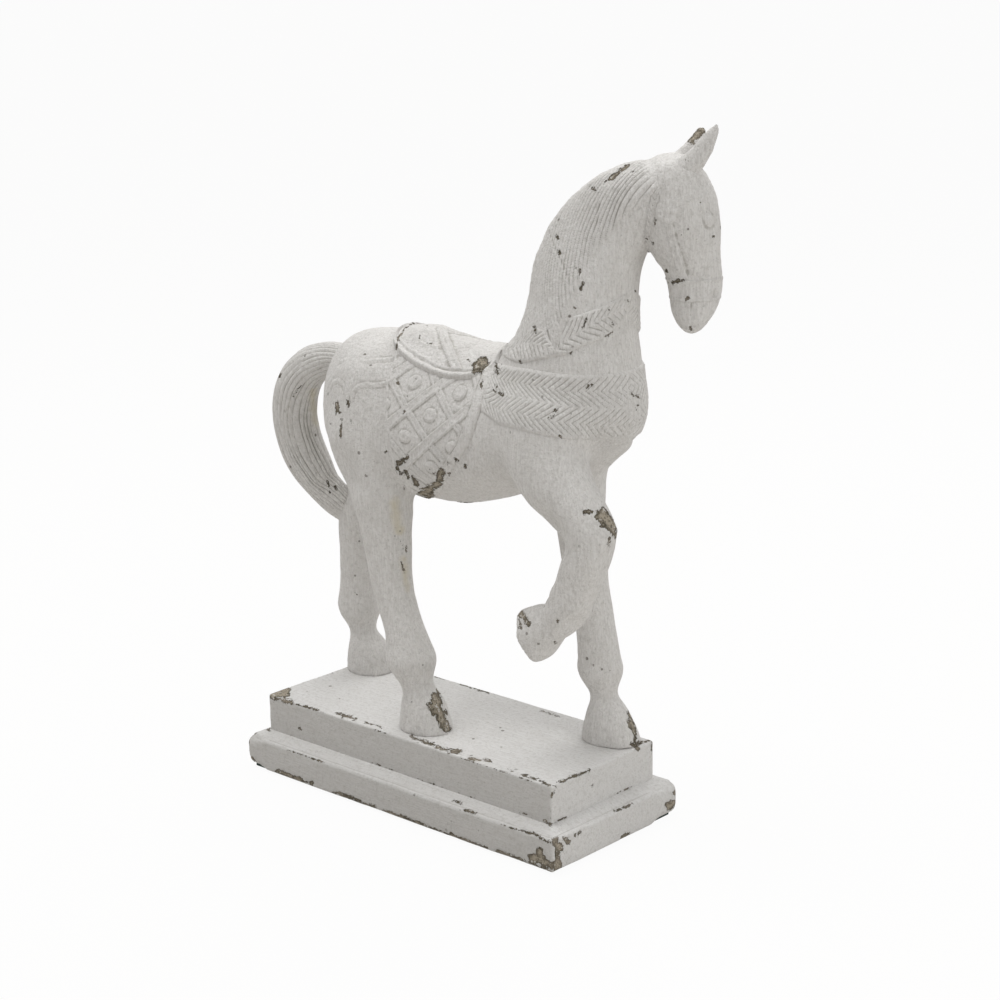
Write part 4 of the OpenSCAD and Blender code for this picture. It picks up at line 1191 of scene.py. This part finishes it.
lower_profile = np.concatenate([
    fine((lower_high[1], lower_low[2]), (lower_edge, lower_low[2]), hidden_step),
    edge_round((lower_edge, lower_low[2] + lower_edge), lower_edge, -90, 0),
    fine((0, lower_low[2] + lower_edge + past_edge), (0, ledge_foot - lower_edge), side_step),
    edge_round((lower_edge, ledge_foot - lower_edge), lower_edge, 0, 80),
    fine((lower_edge + past_edge, ledge_foot), (ledge_inner, upper_low[2]), side_step),
    fine((ledge_inner, ledge_cover), (lower_high[1], ledge_cover), hidden_step),
    [[lower_high[1], ledge_cover]]])
upper_step = plinth_piece("upper_plinth_cast", upper_high, upper_corners, upper_profile)
lower_step = plinth_piece("lower_plinth_cast", lower_high, lower_corners, lower_profile,
                          (lower_low[2], ledge_foot), lower_worn_ends)
print("faces of the two steps:", len(upper_step.data.polygons), len(lower_step.data.polygons))

# %% [markdown]
# The paint is rubbed and knocked away in many places, down to grey-brown resin. Each corner of a piece gets
# a number, in millimetres, that says how deep inside a bare spot it lies. The spots that the photo shows are
# kept as short strokes in its pixels. A corner lies in a stroke if it faces the camera, if its pixel is near
# the stroke, and if it is about as far away as the surface there. Edges on all other sides wear by noise.

# %% Bare spots seen in the photo, as strokes: from column and row to column and row, and half their width
knee_strokes = [(599, 511, 604, 512, 4.0), (602, 515, 612, 525, 7.0), (609, 524, 615, 534, 4.5),
                (584, 512, 594, 511, 1.8), (609, 538, 609, 546, 1.2), (597, 517, 603, 524, 4.0)]
hoof_strokes = [(435, 698, 441, 717, 6.0), (440, 719, 447, 728, 5.0), (433, 705, 436, 712, 4.5),
                (630, 714, 635, 740, 3.2), (634, 738, 638, 746, 2.4), (521, 614, 527, 622, 3.6),
                (519, 620, 521, 628, 1.8), (548, 632, 548, 633, 1.3), (537, 642, 538, 643, 1.3),
                (555, 642, 556, 642, 1.2), (558, 620, 558, 621, 1.2), (437, 690, 441, 693, 1.6)]
cloth_strokes = [(421, 495, 437, 484, 4.6), (437, 483, 441, 472, 3.6), (430, 470, 433, 474, 2.2),
                 (412, 476, 416, 484, 2.6), (405, 470, 409, 478, 2.2), (400, 463, 406, 458, 3.2),
                 (397, 468, 401, 474, 2.0), (426, 498, 432, 495, 3.0), (447, 463, 449, 464, 1.4),
                 (455, 459, 457, 462, 1.4), (465, 464, 466, 467, 1.2), (449, 473, 450, 474, 1.2),
                 (398, 382, 399, 384, 1.6), (415, 379, 416, 379, 1.0), (386, 452, 387, 453, 1.4),
                 (403, 415, 405, 411, 0.9)]
saddle_strokes = [(476, 367, 483, 361, 5.6), (474, 371, 479, 371, 2.4), (484, 357, 486, 358, 1.6),
                  (482, 380, 481, 387, 1.8), (467, 360, 469, 360, 1.2), (428, 345, 431, 344, 0.8),
                  (419, 338, 420, 336, 0.9), (396, 350, 398, 340, 1.1), (398, 338, 404, 330, 0.8),
                  (406, 328, 414, 323, 0.8)]
collar_strokes = [(496, 363, 497, 373, 1.6), (501, 363, 502, 364, 1.5), (498, 368, 499, 369, 1.5),
                  (495, 385, 497, 387, 1.3), (494, 391, 503, 395, 1.2), (520, 361, 522, 363, 1.4),
                  (548, 418, 555, 410, 1.2), (553, 416, 559, 408, 0.9), (587, 388, 592, 384, 1.1),
                  (558, 434, 561, 437, 1.0), (571, 413, 573, 412, 0.9), (632, 393, 633, 396, 0.7),
                  (637, 396, 638.5, 399, 0.8), (637, 405.5, 638, 406, 0.7),
                  (635.5, 407.5, 636.5, 409.5, 0.7), (605, 337, 613, 332, 1.4), (611, 322, 615, 325, 1.2),
                  (583, 328, 587, 317, 0.8), (534, 327, 536, 333, 1.1), (608, 309, 609, 310, 1.0),
                  (628, 300, 629, 302, 1.2), (635, 290, 636, 292, 1.1), (571, 354, 573, 349, 0.9)]
haunch_strokes = [(337, 404, 339, 413, 3.2), (348, 401, 348, 405, 1.8), (342, 420, 340, 436, 1.9),
                  (330, 423, 331, 424, 1.0), (401, 541, 403, 548, 1.5), (402, 563, 404, 571, 1.4),
                  (406, 545, 406, 552, 1.0), (355, 592, 357, 594, 1.6), (351, 421, 351, 423, 1.0),
                  (404, 486, 404, 490, 1.0), (298, 389, 302, 385, 1.0), (294, 396, 297, 391, 1.2),
                  (280, 377, 281, 374, 1.0), (335, 486, 336, 489, 1.1), (327, 480, 329, 486, 0.9),
                  (330, 492, 330, 493, 1.0)]
head_strokes = [(609, 179, 624, 168, 2.6), (606, 181, 613, 175, 1.6), (622, 171, 627, 166, 1.8),
                (633, 172, 634, 171, 1.2), (697, 134, 701, 130, 5.0), (691, 140, 695, 136, 3.0),
                (675, 281, 683, 280, 2.5), (686, 299, 688, 298, 1.4), (690, 327, 691, 329.5, 1.1),
                (655, 219, 655, 226, 1.1), (646, 239, 647, 240, 1.4), (651, 242, 652, 243, 1.6),
                (666, 270, 667, 271, 1.2), (700, 202, 701, 203, 1.3), (713, 236, 713, 237, 1.0),
                (680, 234, 681, 235, 0.8), (557, 234, 558, 239, 1.2), (559, 250, 560, 253, 1.1),
                (579, 275, 581, 268, 1.1), (580, 290, 583, 283, 1.2), (574, 307, 575, 308, 1.0),
                (595, 190, 593, 188, 1.1), (598, 187, 599, 186, 1.0)]
upper_step_strokes = [(272, 694, 286, 691, 5.5), (270, 697, 292, 702, 2.4), (290, 703, 320, 710, 1.5),
                      (268, 698, 268, 708, 1.2), (268, 722, 269, 730, 1.8), (337, 714, 356, 719, 1.6),
                      (366, 722, 381, 727, 1.6), (412, 737, 432, 744, 1.7), (432, 744, 446, 750, 2.2),
                      (440, 750, 460, 751, 2.0), (470, 758, 490, 761, 1.7), (508, 769, 512, 771, 1.5),
                      (524, 775, 548, 784, 1.8), (548, 785, 556, 786, 2.0), (556, 783, 590, 770, 1.5),
                      (552, 792, 552, 800, 1.6), (632, 744, 640, 748, 2.4), (640, 742, 652, 740, 1.2),
                      (652, 742, 652, 750, 0.9), (436, 677, 448, 680, 1.0), (460, 684, 490, 693, 0.9),
                      (470, 685, 474, 686, 1.4), (540, 710, 560, 717, 0.7), (299, 728, 301, 730, 1.4),
                      (592, 786, 593, 788, 1.2), (545, 820, 550, 824, 1.8), (520, 812, 526, 815, 1.0)]
lower_step_strokes = [(244, 742, 245, 752, 2.6), (247, 756, 256, 764, 3.0), (250, 736, 262, 728, 1.4),
                      (278, 772, 311, 783.5, 2.6), (340, 795, 360, 801, 2.0), (358, 803, 374, 807, 1.8),
                      (383, 811, 425, 826, 2.1), (425, 826, 491, 849.5, 2.2), (453, 800, 461, 803, 1.4),
                      (464, 810, 476, 813, 1.5), (518, 829, 540, 836, 1.5), (540, 838, 554, 844, 1.8),
                      (532, 858, 545, 862, 5.0), (540, 852, 550, 866, 4.0), (556, 842, 561, 850, 4.2),
                      (557, 852, 559, 868, 3.4), (564, 838, 568, 842, 2.6), (580, 862, 620, 845, 1.5),
                      (622, 838, 630, 833, 2.4), (636, 838, 670, 818, 1.3), (614, 812, 632, 804, 1.4),
                      (670, 806, 678, 800, 4.4), (674, 794, 679, 787, 2.2), (664, 776, 680, 783, 1.3),
                      (575, 836, 580, 832, 1.2), (498, 852, 546, 869, 2.0), (557, 838, 556, 872, 2.2),
                      (334, 792, 352, 798, 2.2), (246, 740, 248, 758, 2.4)]
stain_strokes = np.array([(394, 503, 399, 530, 4.5), (312, 392, 316, 426, 3.0), (404, 560, 407, 590, 2.5)])
photo_strokes = np.array(knee_strokes + hoof_strokes + cloth_strokes + saddle_strokes + collar_strokes
                         + haunch_strokes + head_strokes + upper_step_strokes + lower_step_strokes)
print("strokes of bare resin:", len(photo_strokes))

# %% Find how far away each stroke lies
figure_pieces = [skin, tail, right_ear, left_ear, saddle, saddle_cloth, breast_collar, neck_collar, mane,
                 bridle]
spots_beside = [(0, 0), (-3, 0), (3, 0), (0, 3), (0, -3)]
bpy.context.view_layer.update()
trees = [tree_of(piece) for piece in [*figure_pieces, upper_step, lower_step]]


def stroke_depth(stroke):
    """Distance of the nearest surface under the middle of a stroke, or of a spot just beside it."""
    column, row = (stroke[0] + stroke[2]) / 2, (stroke[1] + stroke[3]) / 2
    for over, down in spots_beside:
        hits = [under_pixel(tree, column + over, row + down) for tree in trees]
        depths = [depth_of(hit) for hit in hits if hit is not None]
        if depths:
            return min(depths)
    return np.nan


stroke_depths = np.array([stroke_depth(stroke) for stroke in photo_strokes])
stain_depths = np.array([stroke_depth(stroke) for stroke in stain_strokes])
print("strokes that miss the object:", int(np.isnan(stroke_depths).sum()))


# %% Work out how bare each corner is
paint_lip, far_outside, least_facing = 0.4, -9.0, 0.02
stroke_slack, stroke_window, ragged_size, ragged_pixels = 16, 40, 4.0, 2.2
lump_size, lump_limit, lump_slope, hollow_slope, hollow_limit = 11.0, 1.02, 5.0, 4.0, 0.25
edge_lump, edge_lump_rise, edge_slope, seen_edge_limit, hidden_edge_limit = 20.0, 2.2, 1.5, 0.4, 0.55


def in_strokes(points, normals, strokes, depths):
    """Millimetres inside the nearest stroke: half its width less the distance from it, from pixels."""
    depth = depth_of(points)
    away = points - camera_place
    scale = focal_pixels / depth
    pixels = np.stack([image_size / 2 + away @ right * scale, image_size / 2 - away @ up * scale], -1)
    uneven = ragged_pixels * rough(points, ragged_size, seed=71)
    bare = np.full(len(points), far_outside)
    facing = normals @ back > least_facing
    for stroke, there in zip(strokes, depths):
        near = facing & (np.abs(depth - there) < stroke_slack)
        near &= np.abs(pixels - (stroke[:2] + stroke[2:4]) / 2).max(1) < stroke_window
        inside = stroke[4] - paint_lip - distance_to_path(pixels[near], stroke[:4].reshape(2, 2))
        inside = inside + uneven[near] * min(1, stroke[4] / 3)
        bare[near] = np.maximum(bare[near], inside / scale[near])
    return bare


def unseen_wear(points, normals, hollow):
    """The same for sides that the photo doesn't show: rare lumps of noise, more on ridges than in hollows."""
    turned_away = smooth_step(0.1, -0.25, normals @ back)
    lumps = lump_slope * (rough(points, lump_size, seed=81) - lump_limit)
    lumps = lumps - hollow_slope * np.clip(hollow, -hollow_limit, hollow_limit)
    return np.where(turned_away > 0.5, lumps, far_outside)


def step_edges(low, high):
    """A function that wears the outer edges of a slab: noise along the edge less the distance from it."""
    def edge_wear(points, normals):
        """Millimetres inside the worn band along an edge."""
        from_faces = np.concatenate([high - np.abs(points), points[:, 2:] - low[2]], 1)
        from_edge = np.sort(np.abs(from_faces), axis=1)[:, 1]
        hidden = normals @ back < least_facing
        limit = np.where(hidden, hidden_edge_limit, seen_edge_limit)
        return edge_lump_rise * rough(points, edge_lump, octaves=4, seed=95) - limit - edge_slope * from_edge
    return edge_wear


# %% Wear every painted piece
# The last number is painted shade: how far the steps' faces that look left or right are greyed, to look less
# lit.
recess, hollow_passes, long_side_shade = 0.35, 8, 0.36


def hollowness(piece):
    """How far each corner lies below its smoothed surroundings, in millimetres."""
    soft = soft_points(piece, 1.0, hollow_passes)
    return ((soft - points_of(piece.data)) * normals_of(piece.data)).sum(1)


def set_number(piece, name, values):
    """Gives each corner of a piece a number that its material reads."""
    field = piece.data.attributes.new(name, "FLOAT", "POINT")
    field.data.foreach_set("value", np.asarray(values, np.float32))


def worn(piece, extra=None, side_shade=0.0):
    """Stores how bare, hollow, side-shaded and stained a piece is at each corner, and sinks its bare spots
    by the paint's thickness. Faces that look to the left or right are greyed as painted shade, by the given
    share."""
    points, normals, hollow = points_of(piece.data), normals_of(piece.data), hollowness(piece)
    bare = in_strokes(points, normals, photo_strokes, stroke_depths)
    bare = np.maximum(bare, unseen_wear(points, normals, hollow))
    stain = in_strokes(points, normals, stain_strokes, stain_depths)
    if extra is not None:
        bare = np.maximum(bare, extra(points, normals))
    set_points(piece, points - (recess * smooth_step(-0.1, 0.5, bare))[:, None] * normals)
    set_number(piece, "bare", bare)
    set_number(piece, "hollow", hollow)
    # painted shade: a share for faces that look to the left or right, by how squarely they face that way
    set_number(piece, "side_shade", side_shade * np.abs(normals[:, 1]))
    set_number(piece, "stain", smooth_step(-2.5, 2.5, stain))
    print(piece.name, "bare share:", (bare > 0).mean().round(3))


for piece in figure_pieces:
    worn(piece)
# The steps also get painted shade on their long sides.
worn(upper_step, step_edges(upper_low, upper_high), long_side_shade)
worn(lower_step, step_edges(lower_low, np.array([*lower_high[:2], ledge_foot])), long_side_shade)

# %% [markdown]
# Now the skin is cut along the same seams as the castings, so that each casting is a closed solid of its
# own again. The knife splits the faces that a seam crosses, each face then goes to the casting on whose
# side its middle lies, and the open end of each casting is capped.

# %% Cut the skin along the seams
leg_seam = ground + 138
neck_seam_place = np.array([104.0, 0.0, ground + 243.5])
neck_tilt = np.radians(9)
neck_seam_way = np.array([np.sin(neck_tilt), 0.0, np.cos(neck_tilt)])
seams = [(np.array([0, 0, leg_seam]), np.array([0.0, 0.0, 1.0])), (neck_seam_place, neck_seam_way),
         (raised_seam_place, raised_seam_way)]
work = bmesh.new()
work.from_mesh(skin.data)
for place, way in seams:
    bmesh.ops.bisect_plane(work, geom=work.verts[:] + work.edges[:] + work.faces[:], dist=1e-7,
                           plane_co=Vector(place * MM), plane_no=Vector(way))
work.to_mesh(skin.data)
work.free()
print("faces of the cut skin:", len(skin.data.polygons))

# %% Make each casting a closed piece
fore_and_hind = 30
middles = read(skin.data.polygons, "center", np.float32, 3) / MM
totals = read(skin.data.polygons, "loop_total", np.int32, 1).ravel()
corners = read(skin.data.loops, "vertex_index", np.int32, 1).ravel()
cut_points = points_of(skin.data)
on_left = middles[:, 1] > 0
raised = ((middles - raised_seam_place) @ raised_seam_way > 0) & ~on_left
raised &= (middles[:, 2] < ground + raised_top) & (middles[:, 0] > foreleg_start)
low = (middles[:, 2] < leg_seam) & ~raised
above = (middles - neck_seam_place) @ neck_seam_way > 0
ahead = middles[:, 0] > fore_and_hind
owner = {"right_foreleg": raised, "left_foreleg": low & ahead, "left_hind_leg": low & ~ahead & on_left,
         "right_hind_leg": low & ~ahead & ~on_left, "neck_and_head": above, "torso": ~raised & ~low & ~above}


def casting(name, kept):
    """A closed piece from the kept faces of the cut skin, with flat caps over its open ends."""
    corner = corners[np.repeat(kept, totals)]
    used = np.unique(corner)
    starts = np.concatenate([[0], np.cumsum(totals[kept])[:-1]])
    piece = new_piece(name, cut_points[used], np.searchsorted(used, corner), starts)
    for field in ("bare", "hollow", "stain"):
        values = read(skin.data.attributes[field].data, "value", np.float32, 1).ravel()
        set_number(piece, field, values[used])
    work = bmesh.new()
    work.from_mesh(piece.data)
    ends = [edge for edge in work.edges if edge.is_boundary]
    bmesh.ops.holes_fill(work, edges=ends)
    for edge in ends:
        edge.smooth = False
    work.to_mesh(piece.data)
    work.free()
    print(name, "faces:", len(piece.data.polygons), "ends:", len(ends))
    return piece


castings = {node: casting(node + "_cast", kept) for node, kept in owner.items()}
bpy.data.objects.remove(skin)

# %% [markdown]
# Every finish is a set of shader nodes. Wiring them one by one hides the idea of a finish, so one small
# class wraps a socket: sums and products of sockets read as arithmetic, and any other node is one call.


# %% Shader arithmetic
def feed(node, sockets):
    """Fills sockets of a node: a shade is linked to its socket, a number or a colour is set on it."""
    for name, value in sockets.items():
        if isinstance(value, Shade):
            value.tree.links.new(value.socket, node.inputs[name])
        else:
            node.inputs[name].default_value = value


class Shade:
    """One socket of a material's nodes. Arithmetic between shades and numbers adds Math nodes."""

    def __init__(self, tree, socket=None):
        self.tree, self.socket = tree, socket

    def node(self, kind, settings, sockets, output=0):
        """Adds a node, makes its settings, fills or links its sockets, and gives one of its outputs."""
        made = self.tree.nodes.new(kind)
        for name, value in settings.items():
            setattr(made, name, value)
        feed(made, sockets)
        return Shade(self.tree, made.outputs[output])

    def math(self, operation, *values):
        """A Math node that does one operation on shades and numbers."""
        return self.node("ShaderNodeMath", {"operation": operation}, dict(enumerate(values)))

    def __add__(self, other):
        return self.math("ADD", self, other)

    def __radd__(self, other):
        return self.math("ADD", other, self)

    def __sub__(self, other):
        return self.math("SUBTRACT", self, other)

    def __rsub__(self, other):
        return self.math("SUBTRACT", other, self)

    def __mul__(self, other):
        return self.math("MULTIPLY", self, other)

    def __rmul__(self, other):
        return self.math("MULTIPLY", other, self)

    def step(self, low, high):
        """0 below low, 1 above high, with a smooth rise between them."""
        return self.node("ShaderNodeMapRange", {"interpolation_type": "SMOOTHSTEP"},
                         {"Value": self, "From Min": low, "From Max": high, "To Min": 0.0, "To Max": 1.0})

    def mix(self, first, second):
        """The first colour where this is 0 and the second where it is 1."""
        return self.node("ShaderNodeMix", {"data_type": "RGBA"}, {0: self, 6: first, 7: second}, 2)


# %% Helpers for materials
def new_material(name):
    """An empty material with its shader, and a shade to start its nodes from."""
    material = bpy.data.materials.new(name)
    material.use_nodes = True
    return material, material.node_tree.nodes["Principled BSDF"], Shade(material.node_tree)


def grain(start, scale, detail=3.0):
    """Noise on the object's own coordinates, with a scale for each axis in lumps a metre."""
    place = start.node("ShaderNodeTexCoord", {}, {}, "Object")
    stretched = start.node("ShaderNodeMapping", {}, {"Vector": place, "Scale": scale})
    sockets = {"Vector": stretched, "Scale": 1.0, "Detail": detail, "Roughness": 0.6}
    return start.node("ShaderNodeTexNoise", {}, sockets)


def bumps(start, height, strength, distance):
    """A normal tilted by a height, as a Bump node gives it."""
    sockets = {"Height": height, "Strength": strength, "Distance": distance}
    return start.node("ShaderNodeBump", {}, sockets, "Normal")


def number(start, name):
    """A number that each corner of a piece carries."""
    return start.node("ShaderNodeAttribute", {"attribute_name": name}, {}, "Fac")


# %% [markdown]
# The paint is a chalky warm white, brushed on by hand. Fine streaks follow the brush. Hollows are greyed as
# painted shade together with dirt, and the steps' faces that look to the left or right are greyed as painted
# shade. Where the number of bareness passes zero the resin shows, grey and tan, with a painted shadow line
# along the broken edge of the paint. Small noise is added to that number, so the outline is finer than the
# mesh.


# %% The worn white paint
def linear(red, green, blue):
    """A colour given in display values from 0 to 255 as the shader's linear values."""
    share = np.array([red, green, blue]) / 255
    return (*np.where(share <= 0.04045, share / 12.92, ((share + 0.055) / 1.055)**2.4), 1.0)


def specks(start, per_metre, share, reach):
    """1 in small dots: close to the seed of a cell, in that share of the cells whose own value is highest."""
    place = start.node("ShaderNodeTexCoord", {}, {}, "Object")
    cells = {"Vector": place, "Scale": per_metre, "Randomness": 1.0}
    from_seed = start.node("ShaderNodeTexVoronoi", {}, cells, "Distance")
    cell_colour = start.node("ShaderNodeTexVoronoi", {}, cells, "Color")
    own = start.node("ShaderNodeSeparateColor", {}, {"Color": cell_colour}, 0)
    return (reach * own.step(1 - share, 1.0) - from_seed).step(-0.03, 0.03)


# Of the three greys on the next line, the third is painted shade for side faces; the first two are the
# paint's own greys.
mottle_grey, crack_grey, side_shade_grey = linear(190, 187, 182), linear(156, 152, 145), linear(152, 148, 142)
# The first grey on the next line is for hollows: painted shade together with dirt.
hollow_shade_and_dust_grey, stain_yellow = linear(146, 141, 132), linear(205, 194, 164)
resin_dark, resin_pale, resin_tan = linear(84, 78, 66), linear(168, 159, 143), linear(176, 165, 150)
# The middle colour on the next line is a painted shadow for the broken edge of the paint.
resin_speck, painted_rim_shadow, dot_grey = linear(100, 94, 81), linear(84, 79, 70), linear(104, 98, 88)


def paint_colour(start, light, shade, streak, speckle, mottle, cloud):
    """White in streaks and clouds, greyer in spots, fine cracks and stains. Greyed as painted shade on side
    faces, and as painted shade with dirt in hollows.
    """
    # painted shade in hollows, together with dirt: greyed by how deep a corner lies below its surroundings
    hollow_shade_and_dust = number(start, "hollow").step(0.02, 0.25) * (0.35 + 0.5 * cloud)
    paint = streak.step(0.25, 0.75).mix(shade, light)
    paint = (0.35 * cloud.step(0.42, 0.7)).mix(paint, shade)
    paint = (0.4 * mottle.step(0.5, 0.66)).mix(paint, mottle_grey)
    paint = (0.4 * (1 - speckle.step(0.28, 0.44))).mix(paint, crack_grey)
    # painted shade: side faces of the steps greyed to look less lit
    paint = number(start, "side_shade").mix(paint, side_shade_grey)
    # the painted shade and dirt of the hollows
    paint = hollow_shade_and_dust.mix(paint, hollow_shade_and_dust_grey)
    return (number(start, "stain") * (0.2 + 0.6 * cloud)).mix(paint, stain_yellow)


def resin_colour(shade, edge, speckle, mottle, ragged, cloud):
    """Dark at the edge of a bare spot and paler inside it, with tan clouds, specks and crumbs of paint."""
    deep = (edge + 2.0 * (speckle - 0.5)).step(0.4, 2.0)
    resin = deep.mix(resin_dark, resin_pale)
    resin = (0.5 * cloud.step(0.45, 0.65)).mix(resin, resin_tan)
    resin = (0.8 * speckle.step(0.5, 0.62)).mix(resin, resin_speck)
    resin = (0.7 * mottle.step(0.56, 0.64)).mix(resin, resin_dark)
    return (0.8 * ragged.step(0.6, 0.64)).mix(resin, shade)


# %% Put paint and resin together
def worn_paint(name, light, shade, brush, relief):
    """Paint with streaks along a brush scale, and bare resin where the number of bareness passes zero."""
    material, shader, start = new_material(name)
    streak, cloud = grain(start, brush), grain(start, (60, 60, 60))
    speckle, mottle = grain(start, (900, 900, 900)), grain(start, (420, 420, 420), 4.0)
    ragged = grain(start, (330, 330, 330), 6.0)
    edge = number(start, "bare") + 4.6 * (ragged - 0.5) + 2.6 * (speckle - 0.5)
    chip = edge.step(-0.05, 0.05)
    # painted shadow: a dark band along the edge of each bare spot, where the step down from the paint would
    # shade the resin
    rim = edge.step(-0.10, 0.0) * (1 - edge.step(0.05, 0.4)) * cloud.step(0.4, 0.6)
    dots = specks(start, 230, 0.10, 0.26) * cloud.step(0.42, 0.60)
    paint = paint_colour(start, light, shade, streak, speckle, mottle, cloud)
    colour = chip.mix(paint, resin_colour(shade, edge, speckle, mottle, ragged, cloud))
    # lays that painted shadow band over the colour
    colour = (0.4 * rim).mix(colour, painted_rim_shadow)
    colour = (0.8 * dots).mix(colour, dot_grey)
    height = relief * (0.5 * streak + 0.4 * speckle + 0.8 * mottle) - 0.8 * chip - 0.5 * dots
    roughness = 0.82 - 0.1 * streak + 0.08 * chip
    feed(shader, {"Base Color": colour, "Roughness": roughness, "Normal": bumps(start, height, 0.9, 0.0008),
                  "Specular IOR Level": 0.25})
    return material


figure_brush, step_brush = (900, 900, 130), (110, 1200, 1200)
figure_paint = worn_paint("figure_paint", linear(229, 227, 224), linear(211, 208, 204), figure_brush, 1.7)
step_paint = worn_paint("step_paint", linear(225, 224, 222), linear(213, 211, 208), step_brush, 0.8)
print("paints made:", figure_paint.name, step_paint.name)

# %% [markdown]
# The hidden hardware is plain zinc-plated steel, and the underside is covered with dark felt.


# %% Steel and felt
def zinc_steel():
    """Grey plated metal, a little uneven in its shine."""
    material, shader, start = new_material("zinc_steel")
    cloud = grain(start, (300, 300, 300))
    colour = cloud.step(0.3, 0.7).mix(linear(176, 178, 180), linear(196, 197, 198))
    feed(shader, {"Base Color": colour, "Roughness": 0.28 + 0.2 * cloud, "Metallic": 1.0})
    return material


def green_felt():
    """Matted dark green fibres: two sizes of noise in the colour, the finer one also as bumps."""
    material, shader, start = new_material("green_felt")
    fibre, cloud = grain(start, (2500, 900, 2500)), grain(start, (120, 120, 120))
    colour = (0.6 * fibre + 0.4 * cloud).step(0.3, 0.7).mix(linear(38, 52, 44), linear(62, 78, 68))
    feed(shader, {"Base Color": colour, "Normal": bumps(start, fibre, 0.5, 0.0003), "Roughness": 0.95})
    return material


steel_finish, felt_finish = zinc_steel(), green_felt()
steel_nodes = ["plinth_screws", "hoof_studs", "stud_washers", "stud_nuts", "leg_dowels", "neck_dowels",
               "ear_pins", "tail_root_pin", "tail_tip_pin"]


def dress_node(node, material):
    """Gives a CAD node that stays as it is a finish."""
    nodes[node].data.materials.clear()
    nodes[node].data.materials.append(material)


for node in steel_nodes:
    dress_node(node, steel_finish)
dress_node("felt_sheet", felt_finish)
dress_node("pour_plug", figure_paint)
print("nodes that keep their shape:", len(steel_nodes) + 2)

# %% [markdown]
# Each new mesh gets its paint, rides on the statue's one body, and hides the node of the imported model that
# it stands for.


# %% Hand the pieces over
def hand_over(piece, material, slot, *stands_for):
    """Paints a piece, fixes it to the statue's body and hides the CAD nodes it stands for."""
    piece.data.materials.append(material)
    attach(piece, "root")
    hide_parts(*stands_for)


for node, piece in castings.items():
    hand_over(piece, figure_paint, "painted_resin", node)
for piece in (mane, bridle):
    hand_over(piece, figure_paint, "painted_resin", "neck_and_head")
for node, piece in {"right_ear": right_ear, "left_ear": left_ear, "tail": tail}.items():
    hand_over(piece, figure_paint, "painted_resin", node)
tack = {"saddle_cloth": saddle_cloth, "saddle": saddle, "breast_collar": breast_collar,
        "neck_collar": neck_collar}
for node, piece in tack.items():
    hand_over(piece, figure_paint, "tack_resin", node)
for node, piece in {"upper_plinth": upper_step, "lower_plinth": lower_step}.items():
    hand_over(piece, step_paint, "painted_resin", node)
print("pieces handed over:", len(castings) + len(figure_pieces) + 1)

# %% [markdown]
# The statue stands on a white sweep in soft light: one lamp in front of it, one above its back and one
# behind it, so that no side and not even the plinth under the belly falls dark. The world and the floor look
# white to the camera, to reflections and through glass, but light the statue at a plain level, so that its
# colours come out about as they are written. The floor keeps a faint shadow.

# %% Floor, world and lamps
scene = bpy.context.scene
scene.view_settings.view_transform = "Standard"
floor_half = 25000.0
floor_corners = np.array([[-1, -1, 0], [1, -1, 0], [1, 1, 0], [-1, 1, 0]]) * floor_half
floor = new_piece("floor", floor_corners, np.array([[0, 1, 2, 3]]))


def seen_directly(start):
    """1 for rays from the camera, in reflections and through glass, 0 for light on its way to the statue."""
    kinds = [start.node("ShaderNodeLightPath", {}, {}, kind)
             for kind in ("Is Camera Ray", "Is Glossy Ray", "Is Transmission Ray")]
    return kinds[0].math("MAXIMUM", kinds[0].math("MAXIMUM", kinds[0], kinds[1]), kinds[2])


ambient, floor_glow_share = 0.44, 0.95
floor_white, white = (0.76, 0.74, 0.71, 1.0), (1, 1, 1, 1)
floor_material, floor_shader, start = new_material("floor_white")
feed(floor_shader, {"Base Color": floor_white, "Roughness": 1.0, "Specular IOR Level": 0.0})
matt = Shade(start.tree, floor_shader.outputs[0])
glow = start.node("ShaderNodeEmission", {}, {"Color": white, "Strength": 1.0})
mixed = start.node("ShaderNodeMixShader", {}, {0: floor_glow_share * seen_directly(start), 1: matt, 2: glow})
feed(start.tree.nodes["Material Output"], {"Surface": mixed})
floor.data.materials.append(floor_material)

world = bpy.data.worlds.new("studio")
world.use_nodes = True
scene.world = world
world_light = ambient + (1 - ambient) * seen_directly(Shade(world.node_tree))
feed(world.node_tree.nodes["Background"], {"Color": white, "Strength": world_light})


def lamp(name, place, aim, size, watts):
    """A square soft lamp at a place in millimetres, turned to an aim."""
    light = bpy.data.lights.new(name, "AREA")
    light.size = size * MM
    light.energy = watts
    made = bpy.data.objects.new(name, light)
    made.location = Vector(np.asarray(place) * MM)
    toward = Vector(np.asarray(aim, float) - np.asarray(place, float))
    made.rotation_euler = toward.to_track_quat("-Z", "Y").to_euler()
    scene.collection.objects.link(made)


lamp_aim = (20, 0, 200)
lamp("front", (1350, -150, 900), lamp_aim, 900, 4.5)
lamp("top", (-400, -350, 1700), lamp_aim, 1000, 12)
lamp("rear", (-200, 900, 1500), lamp_aim, 1000, 9)
